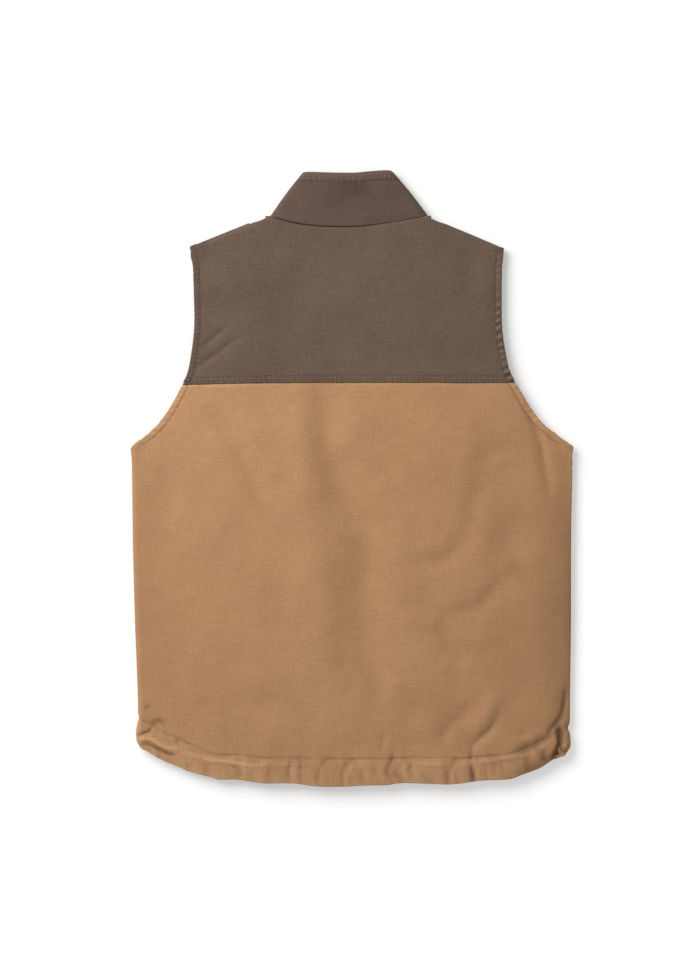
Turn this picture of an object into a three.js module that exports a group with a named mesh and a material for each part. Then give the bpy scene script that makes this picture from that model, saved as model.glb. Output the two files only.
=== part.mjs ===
import * as THREE from "three";

// Canvas work vest, laid on its front with its back upwards. All sizes are in millimetres.
// +Z is up from the floor, +Y runs from the hem to the collar, +X is to the right seen from above.
// The vest is one flattened tube. The back is its upper wall and the fronts are its lower wall. The
// two turn into each other along the side seams, the shoulder seams and the ends of the collar.

// Walls and seams
const BODY_WALL = 2;
const HEM_WALL = 3.6;
const COLLAR_WALL = 3.2;
const SEAM_GAP = 0.3;
const YOKE_LAP = 1;
const COLLAR_LAP = 1.2;

// Heights up the vest, from its middle
const ARMPIT_Y = 39.5;
const SHOULDER_TIP_Y = 297;
const NECK_Y = 338.5;
const COLLAR_TOP_Y = 397.2;
const YOKE_SEAM_Y = 123.5;
const FRONT_YOKE_SEAM_Y = 150;

// Widths
const CHEST_HALF = 284.4;
const SHOULDER_HALF = 201.4;
const NECK_HALF = 103;
const COLLAR_TOP_HALF = 57.5;
const UPPER_LEAN = -4.2;

// Neck and collar
const BACK_NECK_DIP = 15;
const FRONT_NECK_DIP = 95;
const FRONT_NECK_CURVE = 2.2;
const COLLAR_FRONT_DROP = 92;
const COLLAR_FRONT_CURVE = 1.6;
const NECK_POINT_GAP = 1.6;

// Closure and hem
const ZIP_HALF = 8;
const ZIP_EDGE = ZIP_HALF + SEAM_GAP;
const ZIP_COIL_HALF = 3;
const ZIP_COIL_LOW = 0.2;
const ZIP_LOW = 0.8;
const ZIP_HIGH = 2.4;
const ZIP_END_GAP = 1;
const HEM_BAND = 32;
const FRONT_HEM_LIFT = 12;
const FRONT_TIP_STEP = 6;
const ARMHOLE_BEND = 8;

// The back's side folds: how high and how wide the cloth rolls over, how the rest domes up to the crown, and how
// close to the side folds the dents in it die out
const FOLD_ROLL = 6;
const FOLD_WIDTH = 6;
const SHOULDER_FOLD_WIDTH = 16;
const COLLAR_FOLD_WIDTH = 8;
const DOME_POWER = 2.6;
const FOLD_FADE = 20;

// How much of the fronts lies flat on the floor, how they rise into the folds, and how close to an edge laps fade
const FLOOR_SHARE = 0.5;
const FLOOR_POWER = 4;
const EDGE_POWER = 6;

const TAN_CANVAS = 0xb08a65;
const DARK_CANVAS = 0x6d5c4e;
const ZIP_BROWN = 0x4a3d33;

// The laid outline, a row for each section up the vest.
// centre and half: middle and half width of the section. crown: height of the back over the middle.
// edge: height of the back's side edge. free: 1 where that edge is an open armhole, 0 where it is a fold.
// inset: how far the front's armhole lies inside the back's.
const SIDE = [
  { y: -400, centre: 1.9, half: 279.3, crown: 19, edge: 8, free: 0, inset: 0 },
  { y: -305, centre: 3.2, half: 278, crown: 23, edge: 8, free: 0, inset: 0 },
  { y: -182, centre: 1.9, half: 280.6, crown: 26, edge: 8.5, free: 0, inset: 0 },
  { y: -80, centre: 0.6, half: 282, crown: 26.5, edge: 9, free: 0, inset: 0 },
  { y: ARMPIT_Y, centre: 0, half: CHEST_HALF, crown: 25, edge: 9, free: 0, inset: 0 },
];
const ARMHOLE = [
  { y: ARMPIT_Y, centre: 0, half: CHEST_HALF, crown: 25, edge: 9, free: 0, inset: 0 },
  { y: 44.4, centre: 0.4, half: 280, crown: 25, edge: 11, free: 0.5, inset: 3 },
  { y: 54.7, centre: 0.8, half: 266.4, crown: 24.5, edge: 12.5, free: 1, inset: 8 },
  { y: 75.3, centre: -1.3, half: 243.9, crown: 24, edge: 13.5, free: 1, inset: 16 },
  { y: 106, centre: -1.9, half: 223.9, crown: 22.5, edge: 14, free: 1, inset: 22 },
  { y: 147.4, centre: -3.5, half: 205.3, crown: 20.5, edge: 13.5, free: 1, inset: 25 },
  { y: 209, centre: -4.4, half: 198.2, crown: 18.5, edge: 12.5, free: 1, inset: 25 },
  { y: 270.9, centre: -4.8, half: 198.8, crown: 17, edge: 11.5, free: 1, inset: 15 },
  { y: SHOULDER_TIP_Y, centre: UPPER_LEAN, half: SHOULDER_HALF, crown: 16, edge: 8, free: 0, inset: 0 },
];
const SHOULDER = [
  { y: SHOULDER_TIP_Y, centre: UPPER_LEAN, half: SHOULDER_HALF, crown: 16, edge: 8, free: 0, inset: 0 },
  { y: NECK_Y, centre: UPPER_LEAN, half: NECK_HALF, crown: 17, edge: 8, free: 0, inset: 0 },
];
const COLLAR = [
  { y: NECK_Y, centre: UPPER_LEAN, half: NECK_HALF, crown: 17, edge: 8, free: 0, inset: 0 },
  { y: 369, centre: -3.4, half: 79.8, crown: 16.5, edge: 8, free: 0, inset: 0 },
  { y: COLLAR_TOP_Y, centre: -3.2, half: COLLAR_TOP_HALF, crown: 15, edge: 7, free: 0, inset: 0 },
];

// Lower edge of the back. across is -1 at the left side seam and 1 at the right one.
const HEM = [
  { across: -1, y: -339 },
  { across: -0.985, y: -346 },
  { across: -0.948, y: -351 },
  { across: -0.874, y: -363 },
  { across: -0.8, y: -372 },
  { across: -0.726, y: -379.5 },
  { across: -0.615, y: -387 },
  { across: -0.468, y: -391 },
  { across: -0.246, y: -392.5 },
  { across: -0.16, y: -397.8 },
  { across: 0, y: -396 },
  { across: 0.2, y: -392.5 },
  { across: 0.4, y: -393.5 },
  { across: 0.5, y: -392 },
  { across: 0.6, y: -388.5 },
  { across: 0.71, y: -387 },
  { across: 0.787, y: -379.5 },
  { across: 0.861, y: -372 },
  { across: 0.935, y: -359 },
  { across: 0.972, y: -355.5 },
  { across: 1, y: -346 },
];

// Top edge of the collar's back, above or below its mean height. across is -1 at its left fold.
const COLLAR_TOP = [
  { across: -1, rise: -1.8 },
  { across: -0.3, rise: -2.8 },
  { across: 0.1, rise: -3 },
  { across: 0.5, rise: -1 },
  { across: 1, rise: 0.6 },
];

// Main folds of the back, each a soft line from one point to another.
// width is its half width, rise its height: above 0 a ridge, below 0 a valley.
const FOLDS = [
  { name: "middle ridge", fromX: -60, fromY: 100, toX: -28, toY: -150, width: 28, rise: 2.6 },
  { name: "middle valley top", fromX: -37, fromY: 108, toX: 18, toY: -55, width: 15, rise: -3.6 },
  { name: "middle valley foot", fromX: 26, fromY: -88, toX: 13, toY: -222, width: 21, rise: -3.4 },
  { name: "middle far bank", fromX: -8, fromY: 70, toX: 55, toY: -90, width: 22, rise: 1.4 },
  { name: "left valley", fromX: -176, fromY: 84, toX: -108, toY: -32, width: 16, rise: -2.2 },
  { name: "curved fold", fromX: 172, fromY: 50, toX: 136, toY: -82, width: 16, rise: -1.6 },
  { name: "curved fold end", fromX: 130, fromY: -98, toX: 52, toY: -122, width: 12, rise: -2 },
  { name: "right long valley", fromX: 186, fromY: 20, toX: 214, toY: -104, width: 26, rise: -2.6 },
  { name: "right cross valley", fromX: 214, fromY: -122, toX: 124, toY: -169, width: 13, rise: -2.4 },
  { name: "right low valley", fromX: 116, fromY: -185, toX: 156, toY: -236, width: 14, rise: -2 },
  { name: "low middle valley", fromX: 24, fromY: -238, toX: 41, toY: -284, width: 15, rise: -2 },
  { name: "low right ridge", fromX: 190, fromY: -274, toX: 156, toY: -322, width: 14, rise: 3 },
  { name: "low right valley", fromX: 154, fromY: -294, toX: 117, toY: -338, width: 13, rise: -2.6 },
  { name: "right side hollow", fromX: 280, fromY: -90, toX: 258, toY: -330, width: 36, rise: -4 },
  { name: "right corner tuck", fromX: 271, fromY: -290, toX: 235, toY: -340, width: 11, rise: -4 },
  { name: "left corner tuck", fromX: -270, fromY: -340, toX: -228, toY: -356, width: 9, rise: -3 },
  { name: "armpit valley", fromX: 226, fromY: 84, toX: 256, toY: -10, width: 11, rise: -2.6 },
  { name: "yoke crease", fromX: -191, fromY: 145, toX: -156, toY: 164, width: 11, rise: -1.8 },
];

// Gathers of the hem, each a dent across the band
const GATHERS = [
  { x: -147, width: 9, dip: 1.8 },
  { x: -78, width: 8, dip: 2.4 },
  { x: -42, width: 7, dip: 1.6 },
  { x: -10, width: 8, dip: 2 },
  { x: 47, width: 8, dip: 2.2 },
  { x: 80, width: 7, dip: 1.8 },
  { x: 123, width: 8, dip: 2 },
  { x: 156, width: 8, dip: 2.8 },
  { x: 232, width: 9, dip: 1.6 },
];

const lerp = THREE.MathUtils.lerp;
const clamp = THREE.MathUtils.clamp;
const smoothstep = THREE.MathUtils.smoothstep;

// Slope of a curve through the rows at one of them, kept flat where the rows turn back
function slopeAt(rows, index, by, column) {
  const before = rows[Math.max(index - 1, 0)];
  const row = rows[index];
  const after = rows[Math.min(index + 1, rows.length - 1)];
  if (before === row) {
    return (after[column] - row[column]) / (after[by] - row[by]);
  }
  if (after === row) {
    return (row[column] - before[column]) / (row[by] - before[by]);
  }
  const slopeIn = (row[column] - before[column]) / (row[by] - before[by]);
  const slopeOut = (after[column] - row[column]) / (after[by] - row[by]);
  return slopeIn * slopeOut <= 0 ? 0 : (2 * slopeIn * slopeOut) / (slopeIn + slopeOut);
}

// Smooth curve through one column of a table
function curve(rows, by, value, column) {
  const at = clamp(value, rows[0][by], rows[rows.length - 1][by]);
  let index = 0;
  while (index < rows.length - 2 && at > rows[index + 1][by]) {
    index += 1;
  }
  const low = rows[index];
  const high = rows[index + 1];
  const span = high[by] - low[by];
  const s = (at - low[by]) / span;
  const slopeLow = slopeAt(rows, index, by, column) * span;
  const slopeHigh = slopeAt(rows, index + 1, by, column) * span;
  const bend = s * (1 - s);
  const blend = s * s * (3 - 2 * s);
  return lerp(low[column], high[column], blend) + bend * ((1 - s) * slopeLow - s * slopeHigh);
}

function section(y) {
  let rows = SIDE;
  if (y > NECK_Y) {
    rows = COLLAR;
  } else if (y > SHOULDER_TIP_Y) {
    rows = SHOULDER;
  } else if (y > ARMPIT_Y) {
    rows = ARMHOLE;
  }
  const column = (name) => curve(rows, "y", y, name);
  return {
    centre: column("centre"),
    half: column("half"),
    crown: column("crown"),
    edge: column("edge"),
    free: column("free"),
    inset: column("inset"),
  };
}

function hemY(across) {
  return curve(HEM, "across", across, "y");
}

function foldRise(x, y) {
  let rise = 0;
  for (const fold of FOLDS) {
    const runX = fold.toX - fold.fromX;
    const runY = fold.toY - fold.fromY;
    const along = ((x - fold.fromX) * runX + (y - fold.fromY) * runY) / (runX * runX + runY * runY);
    const s = clamp(along, 0, 1);
    const away = Math.hypot(x - fold.fromX - s * runX, y - fold.fromY - s * runY) / fold.width;
    rise += fold.rise * Math.exp(-away * away);
  }
  return rise;
}

function gatherDip(x, aboveHem) {
  let dip = 0;
  for (const gather of GATHERS) {
    const away = (x - gather.x) / gather.width;
    dip += gather.dip * Math.exp(-away * away);
  }
  return dip * (1 - smoothstep(aboveHem, 0.4 * HEM_BAND, 1.5 * HEM_BAND));
}

// Width across the vest in which the cloth rolls over a side fold. The shoulders slant, so theirs is wider.
function foldWidth(y) {
  const belowNeck = lerp(FOLD_WIDTH, SHOULDER_FOLD_WIDTH, smoothstep(y, SHOULDER_TIP_Y - 22, SHOULDER_TIP_Y + 3));
  return lerp(belowNeck, COLLAR_FOLD_WIDTH, smoothstep(y, NECK_Y, NECK_Y + 10));
}

// Outer face of the upper wall: the roll of the side folds, the dome of the crown, and the folds in it
function upperZ(x, y) {
  const row = section(y);
  const across = clamp((x - row.centre) / row.half, -1, 1);
  const inside = row.half * (1 - Math.abs(across));
  const rollStart = Math.max(1 - inside / foldWidth(y), 0);
  const turn = lerp(Math.sqrt(1 - rollStart * rollStart), 1, row.free);
  const roll = FOLD_ROLL * (1 - row.free);
  const dome = (row.crown - row.edge - roll) * (1 - Math.abs(across) ** DOME_POWER);
  const dents = (foldRise(x, y) - gatherDip(x, y - hemY(across))) * (1 - Math.abs(across) ** FOLD_FADE);
  return row.edge + (roll + dome + dents) * turn;
}

// Outer face of the lower wall, which lies on the floor
function lowerZ(x, y) {
  const row = section(y);
  const across = Math.min(Math.abs(x - row.centre) / (row.half - row.inset), 1);
  const lift = Math.max(across - FLOOR_SHARE, 0) / (1 - FLOOR_SHARE);
  return row.edge * (1 - row.free) * (1 - Math.sqrt(1 - lift ** FLOOR_POWER));
}

function shoulderY(half) {
  return lerp(SHOULDER_TIP_Y, NECK_Y, (SHOULDER_HALF - half) / (SHOULDER_HALF - NECK_HALF));
}

function backNeckY(half) {
  return NECK_Y - BACK_NECK_DIP * (1 - (half / NECK_HALF) ** 2);
}

function frontNeckY(half) {
  return NECK_Y - FRONT_NECK_DIP * (1 - (half / NECK_HALF) ** FRONT_NECK_CURVE);
}

function collarBackY(across) {
  return COLLAR_TOP_Y + curve(COLLAR_TOP, "across", across, "rise");
}

function collarFrontY(across) {
  const drop = COLLAR_FRONT_DROP * (1 - Math.abs(across) ** COLLAR_FRONT_CURVE);
  return lerp(COLLAR_TOP_Y, collarBackY(Math.sign(across)), across * across) - drop;
}

// A closed sheet. place gives a point of the outer face for a column and a row, thickness the wall there,
// and facing is 1 where columns and rows run anticlockwise seen from outside.
function sheet(place, columns, rows, thickness, facing) {
  const STEP = 1e-6;
  const firstColumn = columns[0];
  const lastColumn = columns[columns.length - 1];
  const positions = [];
  const inner = [];
  for (const v of rows) {
    for (const u of columns) {
      const point = place(u, v);
      const east = place(Math.min(u + STEP, lastColumn), v);
      const west = place(Math.max(u - STEP, firstColumn), v);
      const north = place(u, Math.min(v + STEP, 1));
      const south = place(u, Math.max(v - STEP, 0));
      const normal = east.sub(west).normalize().cross(north.sub(south).normalize()).normalize();
      const inside = point.clone().addScaledVector(normal, -facing * thickness(v));
      positions.push(point.x, point.y, point.z);
      inner.push(inside.x, inside.y, inside.z);
    }
  }
  const across = columns.length;
  const up = rows.length;
  const layer = across * up;
  const indices = [];
  const quad = (a, b, c, d) => {
    if (facing > 0) {
      indices.push(a, b, c, a, c, d);
    } else {
      indices.push(a, c, b, a, d, c);
    }
  };
  for (let j = 0; j < up - 1; j += 1) {
    for (let i = 0; i < across - 1; i += 1) {
      const corner = j * across + i;
      quad(corner, corner + 1, corner + across + 1, corner + across);
      const deep = corner + layer;
      quad(deep, deep + across, deep + across + 1, deep + 1);
    }
  }
  for (let i = 0; i < across - 1; i += 1) {
    const low = i;
    const high = (up - 1) * across + i;
    quad(low, low + layer, low + layer + 1, low + 1);
    quad(high, high + 1, high + layer + 1, high + layer);
  }
  for (let j = 0; j < up - 1; j += 1) {
    const west = j * across;
    const east = west + across - 1;
    quad(west, west + across, west + across + layer, west + layer);
    quad(east, east + layer, east + across + layer, east + across);
  }
  const geometry = new THREE.BufferGeometry();
  geometry.setAttribute("position", new THREE.Float32BufferAttribute(positions.concat(inner), 3));
  geometry.setIndex(indices);
  geometry.computeVertexNormals();
  return geometry;
}

function steps(from, to, count) {
  return Array.from({ length: count + 1 }, (_, index) => lerp(from, to, index / count));
}

// Columns from one fold to the other, even between the folds and closer together round them.
// roll is the share of the half width that a fold takes.
function foldedColumns(roll, flatSteps, foldSteps) {
  const turns = steps(0, Math.PI / 2, foldSteps).slice(1);
  const right = turns.map((angle) => 1 - roll * (1 - Math.sin(angle)));
  const left = right.map((value) => -value).reverse();
  return [...left, ...steps(roll - 1, 1 - roll, flatSteps), ...right];
}

function backPanelPoint(across, v) {
  const y = lerp(hemY(across), YOKE_SEAM_Y - SEAM_GAP / 2, v);
  const row = section(y);
  const x = row.centre + row.half * across;
  return new THREE.Vector3(x, y, upperZ(x, y) + SEAM_GAP / 2);
}

function backYokePoint(across, v) {
  const half = SHOULDER_HALF * Math.abs(across);
  const top = half < NECK_HALF ? backNeckY(half) - SEAM_GAP / 2 : shoulderY(half);
  const y = lerp(YOKE_SEAM_Y + SEAM_GAP / 2, top, v);
  const row = section(Math.min(y, SHOULDER_TIP_Y));
  const x = row.centre + row.half * across;
  const lap = YOKE_LAP * (1 - Math.abs(across) ** EDGE_POWER) * (1 - v ** EDGE_POWER);
  return new THREE.Vector3(x, y, upperZ(x, y) + lap + SEAM_GAP / 2);
}

// The fronts run from the closure (0) to the side seam or armhole (1) on one side of the vest
function frontX(out, y, side) {
  const row = section(Math.min(y, SHOULDER_TIP_Y));
  const reach = row.half - row.inset + side * row.centre;
  return side * lerp(ZIP_EDGE, reach, out);
}

function frontPoint(x, y) {
  return new THREE.Vector3(x, y, Math.max(lowerZ(x, y) - SEAM_GAP / 2, 0));
}

function frontPanelPoint(out, v, side) {
  const low = hemY(side * out) + FRONT_HEM_LIFT * (1 - out ** EDGE_POWER);
  const y = lerp(low, FRONT_YOKE_SEAM_Y - SEAM_GAP / 2, v);
  return frontPoint(frontX(out, y, side), y);
}

// The front yoke stops a step short of the back's shoulder tip. Only its outermost columns bend with the
// armhole, so the others meet the neckline and the shoulder straight above their foot.
function frontYokePoint(share, v, side) {
  const tip = SHOULDER_HALF - FRONT_TIP_STEP + side * UPPER_LEAN;
  const topX = side * lerp(ZIP_EDGE, tip, share);
  const half = Math.abs(topX - UPPER_LEAN);
  const top = half < NECK_HALF ? frontNeckY(half) - SEAM_GAP : shoulderY(half);
  const y = lerp(FRONT_YOKE_SEAM_Y + SEAM_GAP / 2, top, v);
  const edge = Math.min(Math.abs(frontX(1, y, side)), tip);
  return frontPoint(topX + side * (edge - tip) * share ** ARMHOLE_BEND, y);
}

// The collar runs round the neck: -2 at the closure's left edge, -1 at the left fold, 0 in the middle of
// the back, 1 at the right fold and 2 at the closure's right edge.
function collarPoint(round, v) {
  const foldY = lerp(NECK_Y + NECK_POINT_GAP, COLLAR_TOP_Y, v);
  const row = section(foldY);
  if (Math.abs(round) <= 1) {
    const x = row.centre + row.half * round;
    const low = backNeckY(NECK_HALF * round) + lerp(SEAM_GAP, NECK_POINT_GAP, Math.abs(round) ** EDGE_POWER);
    const y = lerp(low, collarBackY(round), v);
    const lap = COLLAR_LAP * Math.sqrt(1 - Math.abs(round) ** EDGE_POWER);
    return new THREE.Vector3(x, y, upperZ(x, y) + lap);
  }
  const side = Math.sign(round);
  const x = lerp(row.centre + side * row.half, side * ZIP_EDGE, Math.abs(round) - 1);
  const across = (x - row.centre) / row.half;
  const half = Math.abs(across) * NECK_HALF;
  const low = frontNeckY(half) + lerp(SEAM_GAP, NECK_POINT_GAP, Math.abs(across) ** EDGE_POWER);
  const y = lerp(low, collarFrontY(across), v);
  return new THREE.Vector3(x, y, lowerZ(x, y));
}

function zipGeometry() {
  const profile = new THREE.Shape();
  profile.moveTo(-ZIP_HALF, -ZIP_HIGH);
  profile.lineTo(ZIP_HALF, -ZIP_HIGH);
  profile.lineTo(ZIP_HALF, -ZIP_LOW);
  profile.lineTo(ZIP_COIL_HALF, -ZIP_LOW);
  profile.lineTo(ZIP_COIL_HALF, -ZIP_COIL_LOW);
  profile.lineTo(-ZIP_COIL_HALF, -ZIP_COIL_LOW);
  profile.lineTo(-ZIP_COIL_HALF, -ZIP_LOW);
  profile.lineTo(-ZIP_HALF, -ZIP_LOW);
  const bottom = hemY(0) + FRONT_HEM_LIFT + ZIP_END_GAP;
  const top = collarFrontY(0) - ZIP_END_GAP;
  const geometry = new THREE.ExtrudeGeometry(profile, { depth: top - bottom, steps: 1, bevelEnabled: false });
  geometry.rotateX(-Math.PI / 2);
  geometry.translate(0, bottom, 0);
  return geometry;
}

const vest = new THREE.Group();
vest.name = "canvas_vest";

function addPiece(name, geometry, color) {
  const material = new THREE.MeshStandardMaterial({ color, roughness: 0.95, metalness: 0 });
  material.name = name;
  const mesh = new THREE.Mesh(geometry, material);
  mesh.name = name;
  vest.add(mesh);
}

const bodyWall = () => BODY_WALL;
const collarWall = () => COLLAR_WALL;
const panelLength = YOKE_SEAM_Y - HEM[0].y;
const hemShare = HEM_BAND / panelLength;
const panelWall = (v) => lerp(HEM_WALL, BODY_WALL, smoothstep(v, 0.75 * hemShare, 1.25 * hemShare));

const ARMPIT_V = (ARMPIT_Y - HEM[0].y) / panelLength;
const hemRows = steps(0, 1.5 * hemShare, 6);
const panelRows = [
  ...hemRows,
  ...steps(1.5 * hemShare, ARMPIT_V, 9).slice(1),
  ...steps(ARMPIT_V, 1, 5).slice(1),
];
addPiece("back_panel", sheet(backPanelPoint, foldedColumns(FOLD_WIDTH / CHEST_HALF, 48, 4), panelRows, panelWall, 1), TAN_CANVAS);

// The yokes and the collar share their columns along the neckline
const neckShare = NECK_HALF / SHOULDER_HALF;
const backNeckColumns = foldedColumns(COLLAR_FOLD_WIDTH / COLLAR_TOP_HALF, 12, 4);
const frontNeckShares = [0, 0.15, 0.3, 0.46, 0.61, 0.75, 0.85, 0.92, 0.965, 0.99, 1];

// The yoke's outer columns close up towards the armhole
const shoulderColumns = [...steps(neckShare, 0.94, 7), 0.974, 0.993, 1].slice(1);
const yokeColumns = [
  ...shoulderColumns.map((value) => -value).reverse(),
  ...backNeckColumns.map((value) => value * neckShare),
  ...shoulderColumns,
];
// The yokes' rows close up round the shoulder fold
const SHOULDER_ROLL_SHARE = 0.04;
const shoulderTurns = steps(0, Math.PI / 2, 4).slice(1);
const yokeRows = [
  ...steps(0, 1 - SHOULDER_ROLL_SHARE, 8),
  ...shoulderTurns.map((angle) => 1 - SHOULDER_ROLL_SHARE * (1 - Math.sin(angle))),
];
addPiece("back_yoke", sheet(backYokePoint, yokeColumns, yokeRows, bodyWall, 1), DARK_CANVAS);

const FRONT_FOLD_COLUMNS = [0.6, 0.72, 0.82, 0.9, 0.95, 0.982, 1];
const panelColumns = [...steps(0, 0.6, 5).slice(0, -1), ...FRONT_FOLD_COLUMNS];
const frontRows = [...steps(0, 0.1, 2), ...steps(0.1, 0.76, 8).slice(1), 0.785, 0.82, 0.88, 0.94, 1];
for (const [name, side] of [["left", -1], ["right", 1]]) {
  const panel = (out, v) => frontPanelPoint(out, v, side);
  addPiece(`front_panel_${name}`, sheet(panel, panelColumns, frontRows, bodyWall, -side), TAN_CANVAS);
  const reach = SHOULDER_HALF - FRONT_TIP_STEP + side * UPPER_LEAN - ZIP_EDGE;
  const neckOut = (NECK_HALF + side * UPPER_LEAN - ZIP_EDGE) / reach;
  const yoke = (share, v) => frontYokePoint(share, v, side);
  const columns = [...frontNeckShares.map((value) => value * neckOut), ...steps(neckOut, 1, 6).slice(1)];
  addPiece(`front_yoke_${name}`, sheet(yoke, columns, yokeRows, bodyWall, -side), DARK_CANVAS);
}

const collarFront = frontNeckShares.slice(0, -1).map((value) => 2 - value);
const collarColumns = [
  ...collarFront.map((value) => -value),
  ...backNeckColumns,
  ...collarFront.reverse(),
];
addPiece("collar", sheet(collarPoint, collarColumns, steps(0, 1, 5), collarWall, 1), DARK_CANVAS);
addPiece("front_zip", zipGeometry(), ZIP_BROWN);

export default vest;
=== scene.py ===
import math
from collections import namedtuple

import bmesh
import bpy
import numpy as np
from mathutils import Matrix, Vector


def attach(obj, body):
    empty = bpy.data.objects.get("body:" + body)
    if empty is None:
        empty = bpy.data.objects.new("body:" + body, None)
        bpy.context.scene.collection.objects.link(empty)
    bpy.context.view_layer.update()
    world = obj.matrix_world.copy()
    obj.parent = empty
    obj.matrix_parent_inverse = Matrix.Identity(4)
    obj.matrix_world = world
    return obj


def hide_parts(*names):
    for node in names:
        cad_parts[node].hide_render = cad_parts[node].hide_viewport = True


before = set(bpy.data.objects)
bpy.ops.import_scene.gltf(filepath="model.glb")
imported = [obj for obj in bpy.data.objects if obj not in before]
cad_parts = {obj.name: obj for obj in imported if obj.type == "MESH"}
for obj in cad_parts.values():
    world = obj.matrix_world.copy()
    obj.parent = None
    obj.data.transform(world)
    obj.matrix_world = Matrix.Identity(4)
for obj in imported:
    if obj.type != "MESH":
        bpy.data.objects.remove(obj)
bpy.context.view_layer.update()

# Canvas vest laid on its front with its back upwards. Sizes are in millimetres until a mesh is made.
# +X is to the right seen from above, +Y runs from the hem to the collar, +Z is up from the floor.
# The back is the upper wall of a flattened tube and the fronts are its lower wall.
MM = 0.001

# Heights up the vest, from its middle
ARMPIT_Y = 39.5
ARMHOLE_OPEN_Y = 75
SHOULDER_TIP_Y = 297
NECK_Y = 338.5
COLLAR_TOP_Y = 397.2
YOKE_SEAM_Y = 123.5
FRONT_YOKE_SEAM_Y = 150

# Widths
CHEST_HALF = 284.4
SHOULDER_HALF = 201.4
NECK_HALF = 103
COLLAR_TOP_HALF = 57.5
UPPER_LEAN = -4.2

# Neck and collar
BACK_NECK_DIP = 14
LEFT_NECK_CURVE = 2.8
RIGHT_NECK_CURVE = 1.6
FRONT_NECK_DIP = 95
FRONT_NECK_CURVE = 2.2
COLLAR_FRONT_DROP = 92
COLLAR_FRONT_CURVE = 1.6

# Shoulder lines and yoke seam, which differ a little from left to right
LEFT_SHOULDER_LIFT = 1.3
RIGHT_SHOULDER_DROP = 1.2
RIGHT_DROP_RUN = 20
SHOULDER_DIP = 2.2
SHOULDER_DIP_RUN = 9
YOKE_SEAM_RISE = 0.7
LEFT_YOKE_BOW = 2.6
RIGHT_YOKE_BOW = 0.6

# Fronts: closure, lower edge, shoulder tips and armholes
ZIP_EDGE = 8.3
FRONT_HEM_LIFT = 12
FRONT_HEM_POWER = 6
FRONT_TIP_STEP = 6
ARMHOLE_BEND = 8

# The back's side folds: how high and how wide the cloth rolls over, and how the rest domes up to the crown
LEFT_FOLD_ROLL = 4.8
RIGHT_FOLD_ROLL = 11
SHOULDER_ROLL = 2.6
LEFT_FOLD_WIDTH = 7
RIGHT_FOLD_WIDTH = 13
SHOULDER_FOLD_WIDTH = 16
COLLAR_FOLD_WIDTH = 8
DOME_POWER = 2.6

# Where the side folds change: the shelf inside them from SHELF_LOW_Y up, their width over TIP_BLEND at the
# shoulder tips and over COLLAR_BLEND above the neck. The dome spans the mean half width over DOME_STEPS.
# SWELL_POWER is how closely a swell keeps to the side edge.
SHELF_LOW_Y = -120
TIP_BLEND = (-22, 3)
COLLAR_BLEND = 10
DOME_STEPS = (-45, -15, 15, 45)
SWELL_POWER = 24

# How much of the fronts lies flat on the floor, and how they rise into the side folds
FLOOR_SHARE = 0.5
FLOOR_POWER = 4

# Cloth: the canvas itself, the radius of a turned-under edge, and how far laps and turn-ups go
CANVAS = 1.0
EDGE_ROLL = 1.4
TURN_UNDER = 6
HEM_TURN_UP = 24
UNDERLAP = 9
UNDERLAP_INSET = 7
SEAM_SPLIT = 0.2
YOKE_LAP = 0.6
YOKE_EDGE_LAP = 1.1
COLLAR_LAP = 0.7
COLLAR_EDGE_LAP = 2.2

# Stitching: how far its lines lie from the edges, and the size of a stitch
ARMHOLE_STITCH = 7.2
YOKE_STITCHES = (2.6, 8.0)
COLLAR_STITCH = 12.8
NECK_STITCH = 2.4
FRONT_STITCH = 6
FRONT_HEM_STITCH = 22
STITCH_PITCH = 3.4
STITCH_LENGTH = 2.5
THREAD = 0.62

# Small relief: grooves of stitch lines, puckers beside them, puffed edges, dips under a lap, washed cloth
HEM_GROOVE = 0.8
HEM_GROOVE_CHANGE = 0.5
HEM_RIDGE = 0.5
HEM_RIDGE_BELOW = 8
HEM_RIPPLE = 0.42
HEM_PUFF = 0.5
HEM_PUFF_CHANGE = 0.4
UNDER_YOKE_DIP = 3
UNDER_COLLAR_DIP = 2.4
YOKE_GROOVE = 0.55
COLLAR_GROOVE = 0.8
FRONT_GROOVE = 0.7
PUCKER_SLANT = 0.3
PUCKER_STRAY = 0.35
PUCKER_STRENGTH = 0.75
PUCKER_CHANGE = 0.6
LADDER_PITCH = 5.6
YOKE_LADDER = 0.55
COLLAR_LADDER = 0.28
COLLAR_PUFF = 0.8
YOKE_RUMPLE = 0.8
COLLAR_RUMPLE = 0.5
Rumple = namedtuple("Rumple", "size rise")
CANVAS_RUMPLES = [Rumple(38, 0.5), Rumple(17, 0.3), Rumple(7, 0.1)]

# Armholes: pitch and seed of the puckers, their height on the yoke, the groove's depth there and below it
Armhole = namedtuple("Armhole", "pitch seed pucker groove low_groove")
LEFT_ARMHOLE = Armhole(6.5, 13, 0.6, 0.4, 0.7)
RIGHT_ARMHOLE = Armhole(10.5, 11, 1.15, 0.55, 1.1)
LOW_PUCKER = 0.5
ARMHOLE_SLANT = 0.75
ARMHOLE_BAND = 3
ARMHOLE_BAND_RISE = 0.4
ARMHOLE_WAVER = 0.4

# Wear and painted light and shade: how far crests and edges have paled where they rub, or stretches have
# darkened, and how strongly light and shade are painted into the seams and the collar
# the panel's seams: paler on crests where they rub, painted shade in grooves, tucks and gathers
PANEL_SEAM_WEAR_AND_SHADE = 0.7
# the dark canvas's seams: paler on pucker crests where they rub, painted shade in stitch lines and between
# puckers
DARK_SEAM_WEAR_AND_SHADE = 0.8
UNDER_YOKE_WEAR = 0.7
HEM_EDGE_WEAR = 0.5
HEM_FADE = 0.2
YOKE_FADE = 0.15
ARMHOLE_SOIL = 0.65
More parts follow.
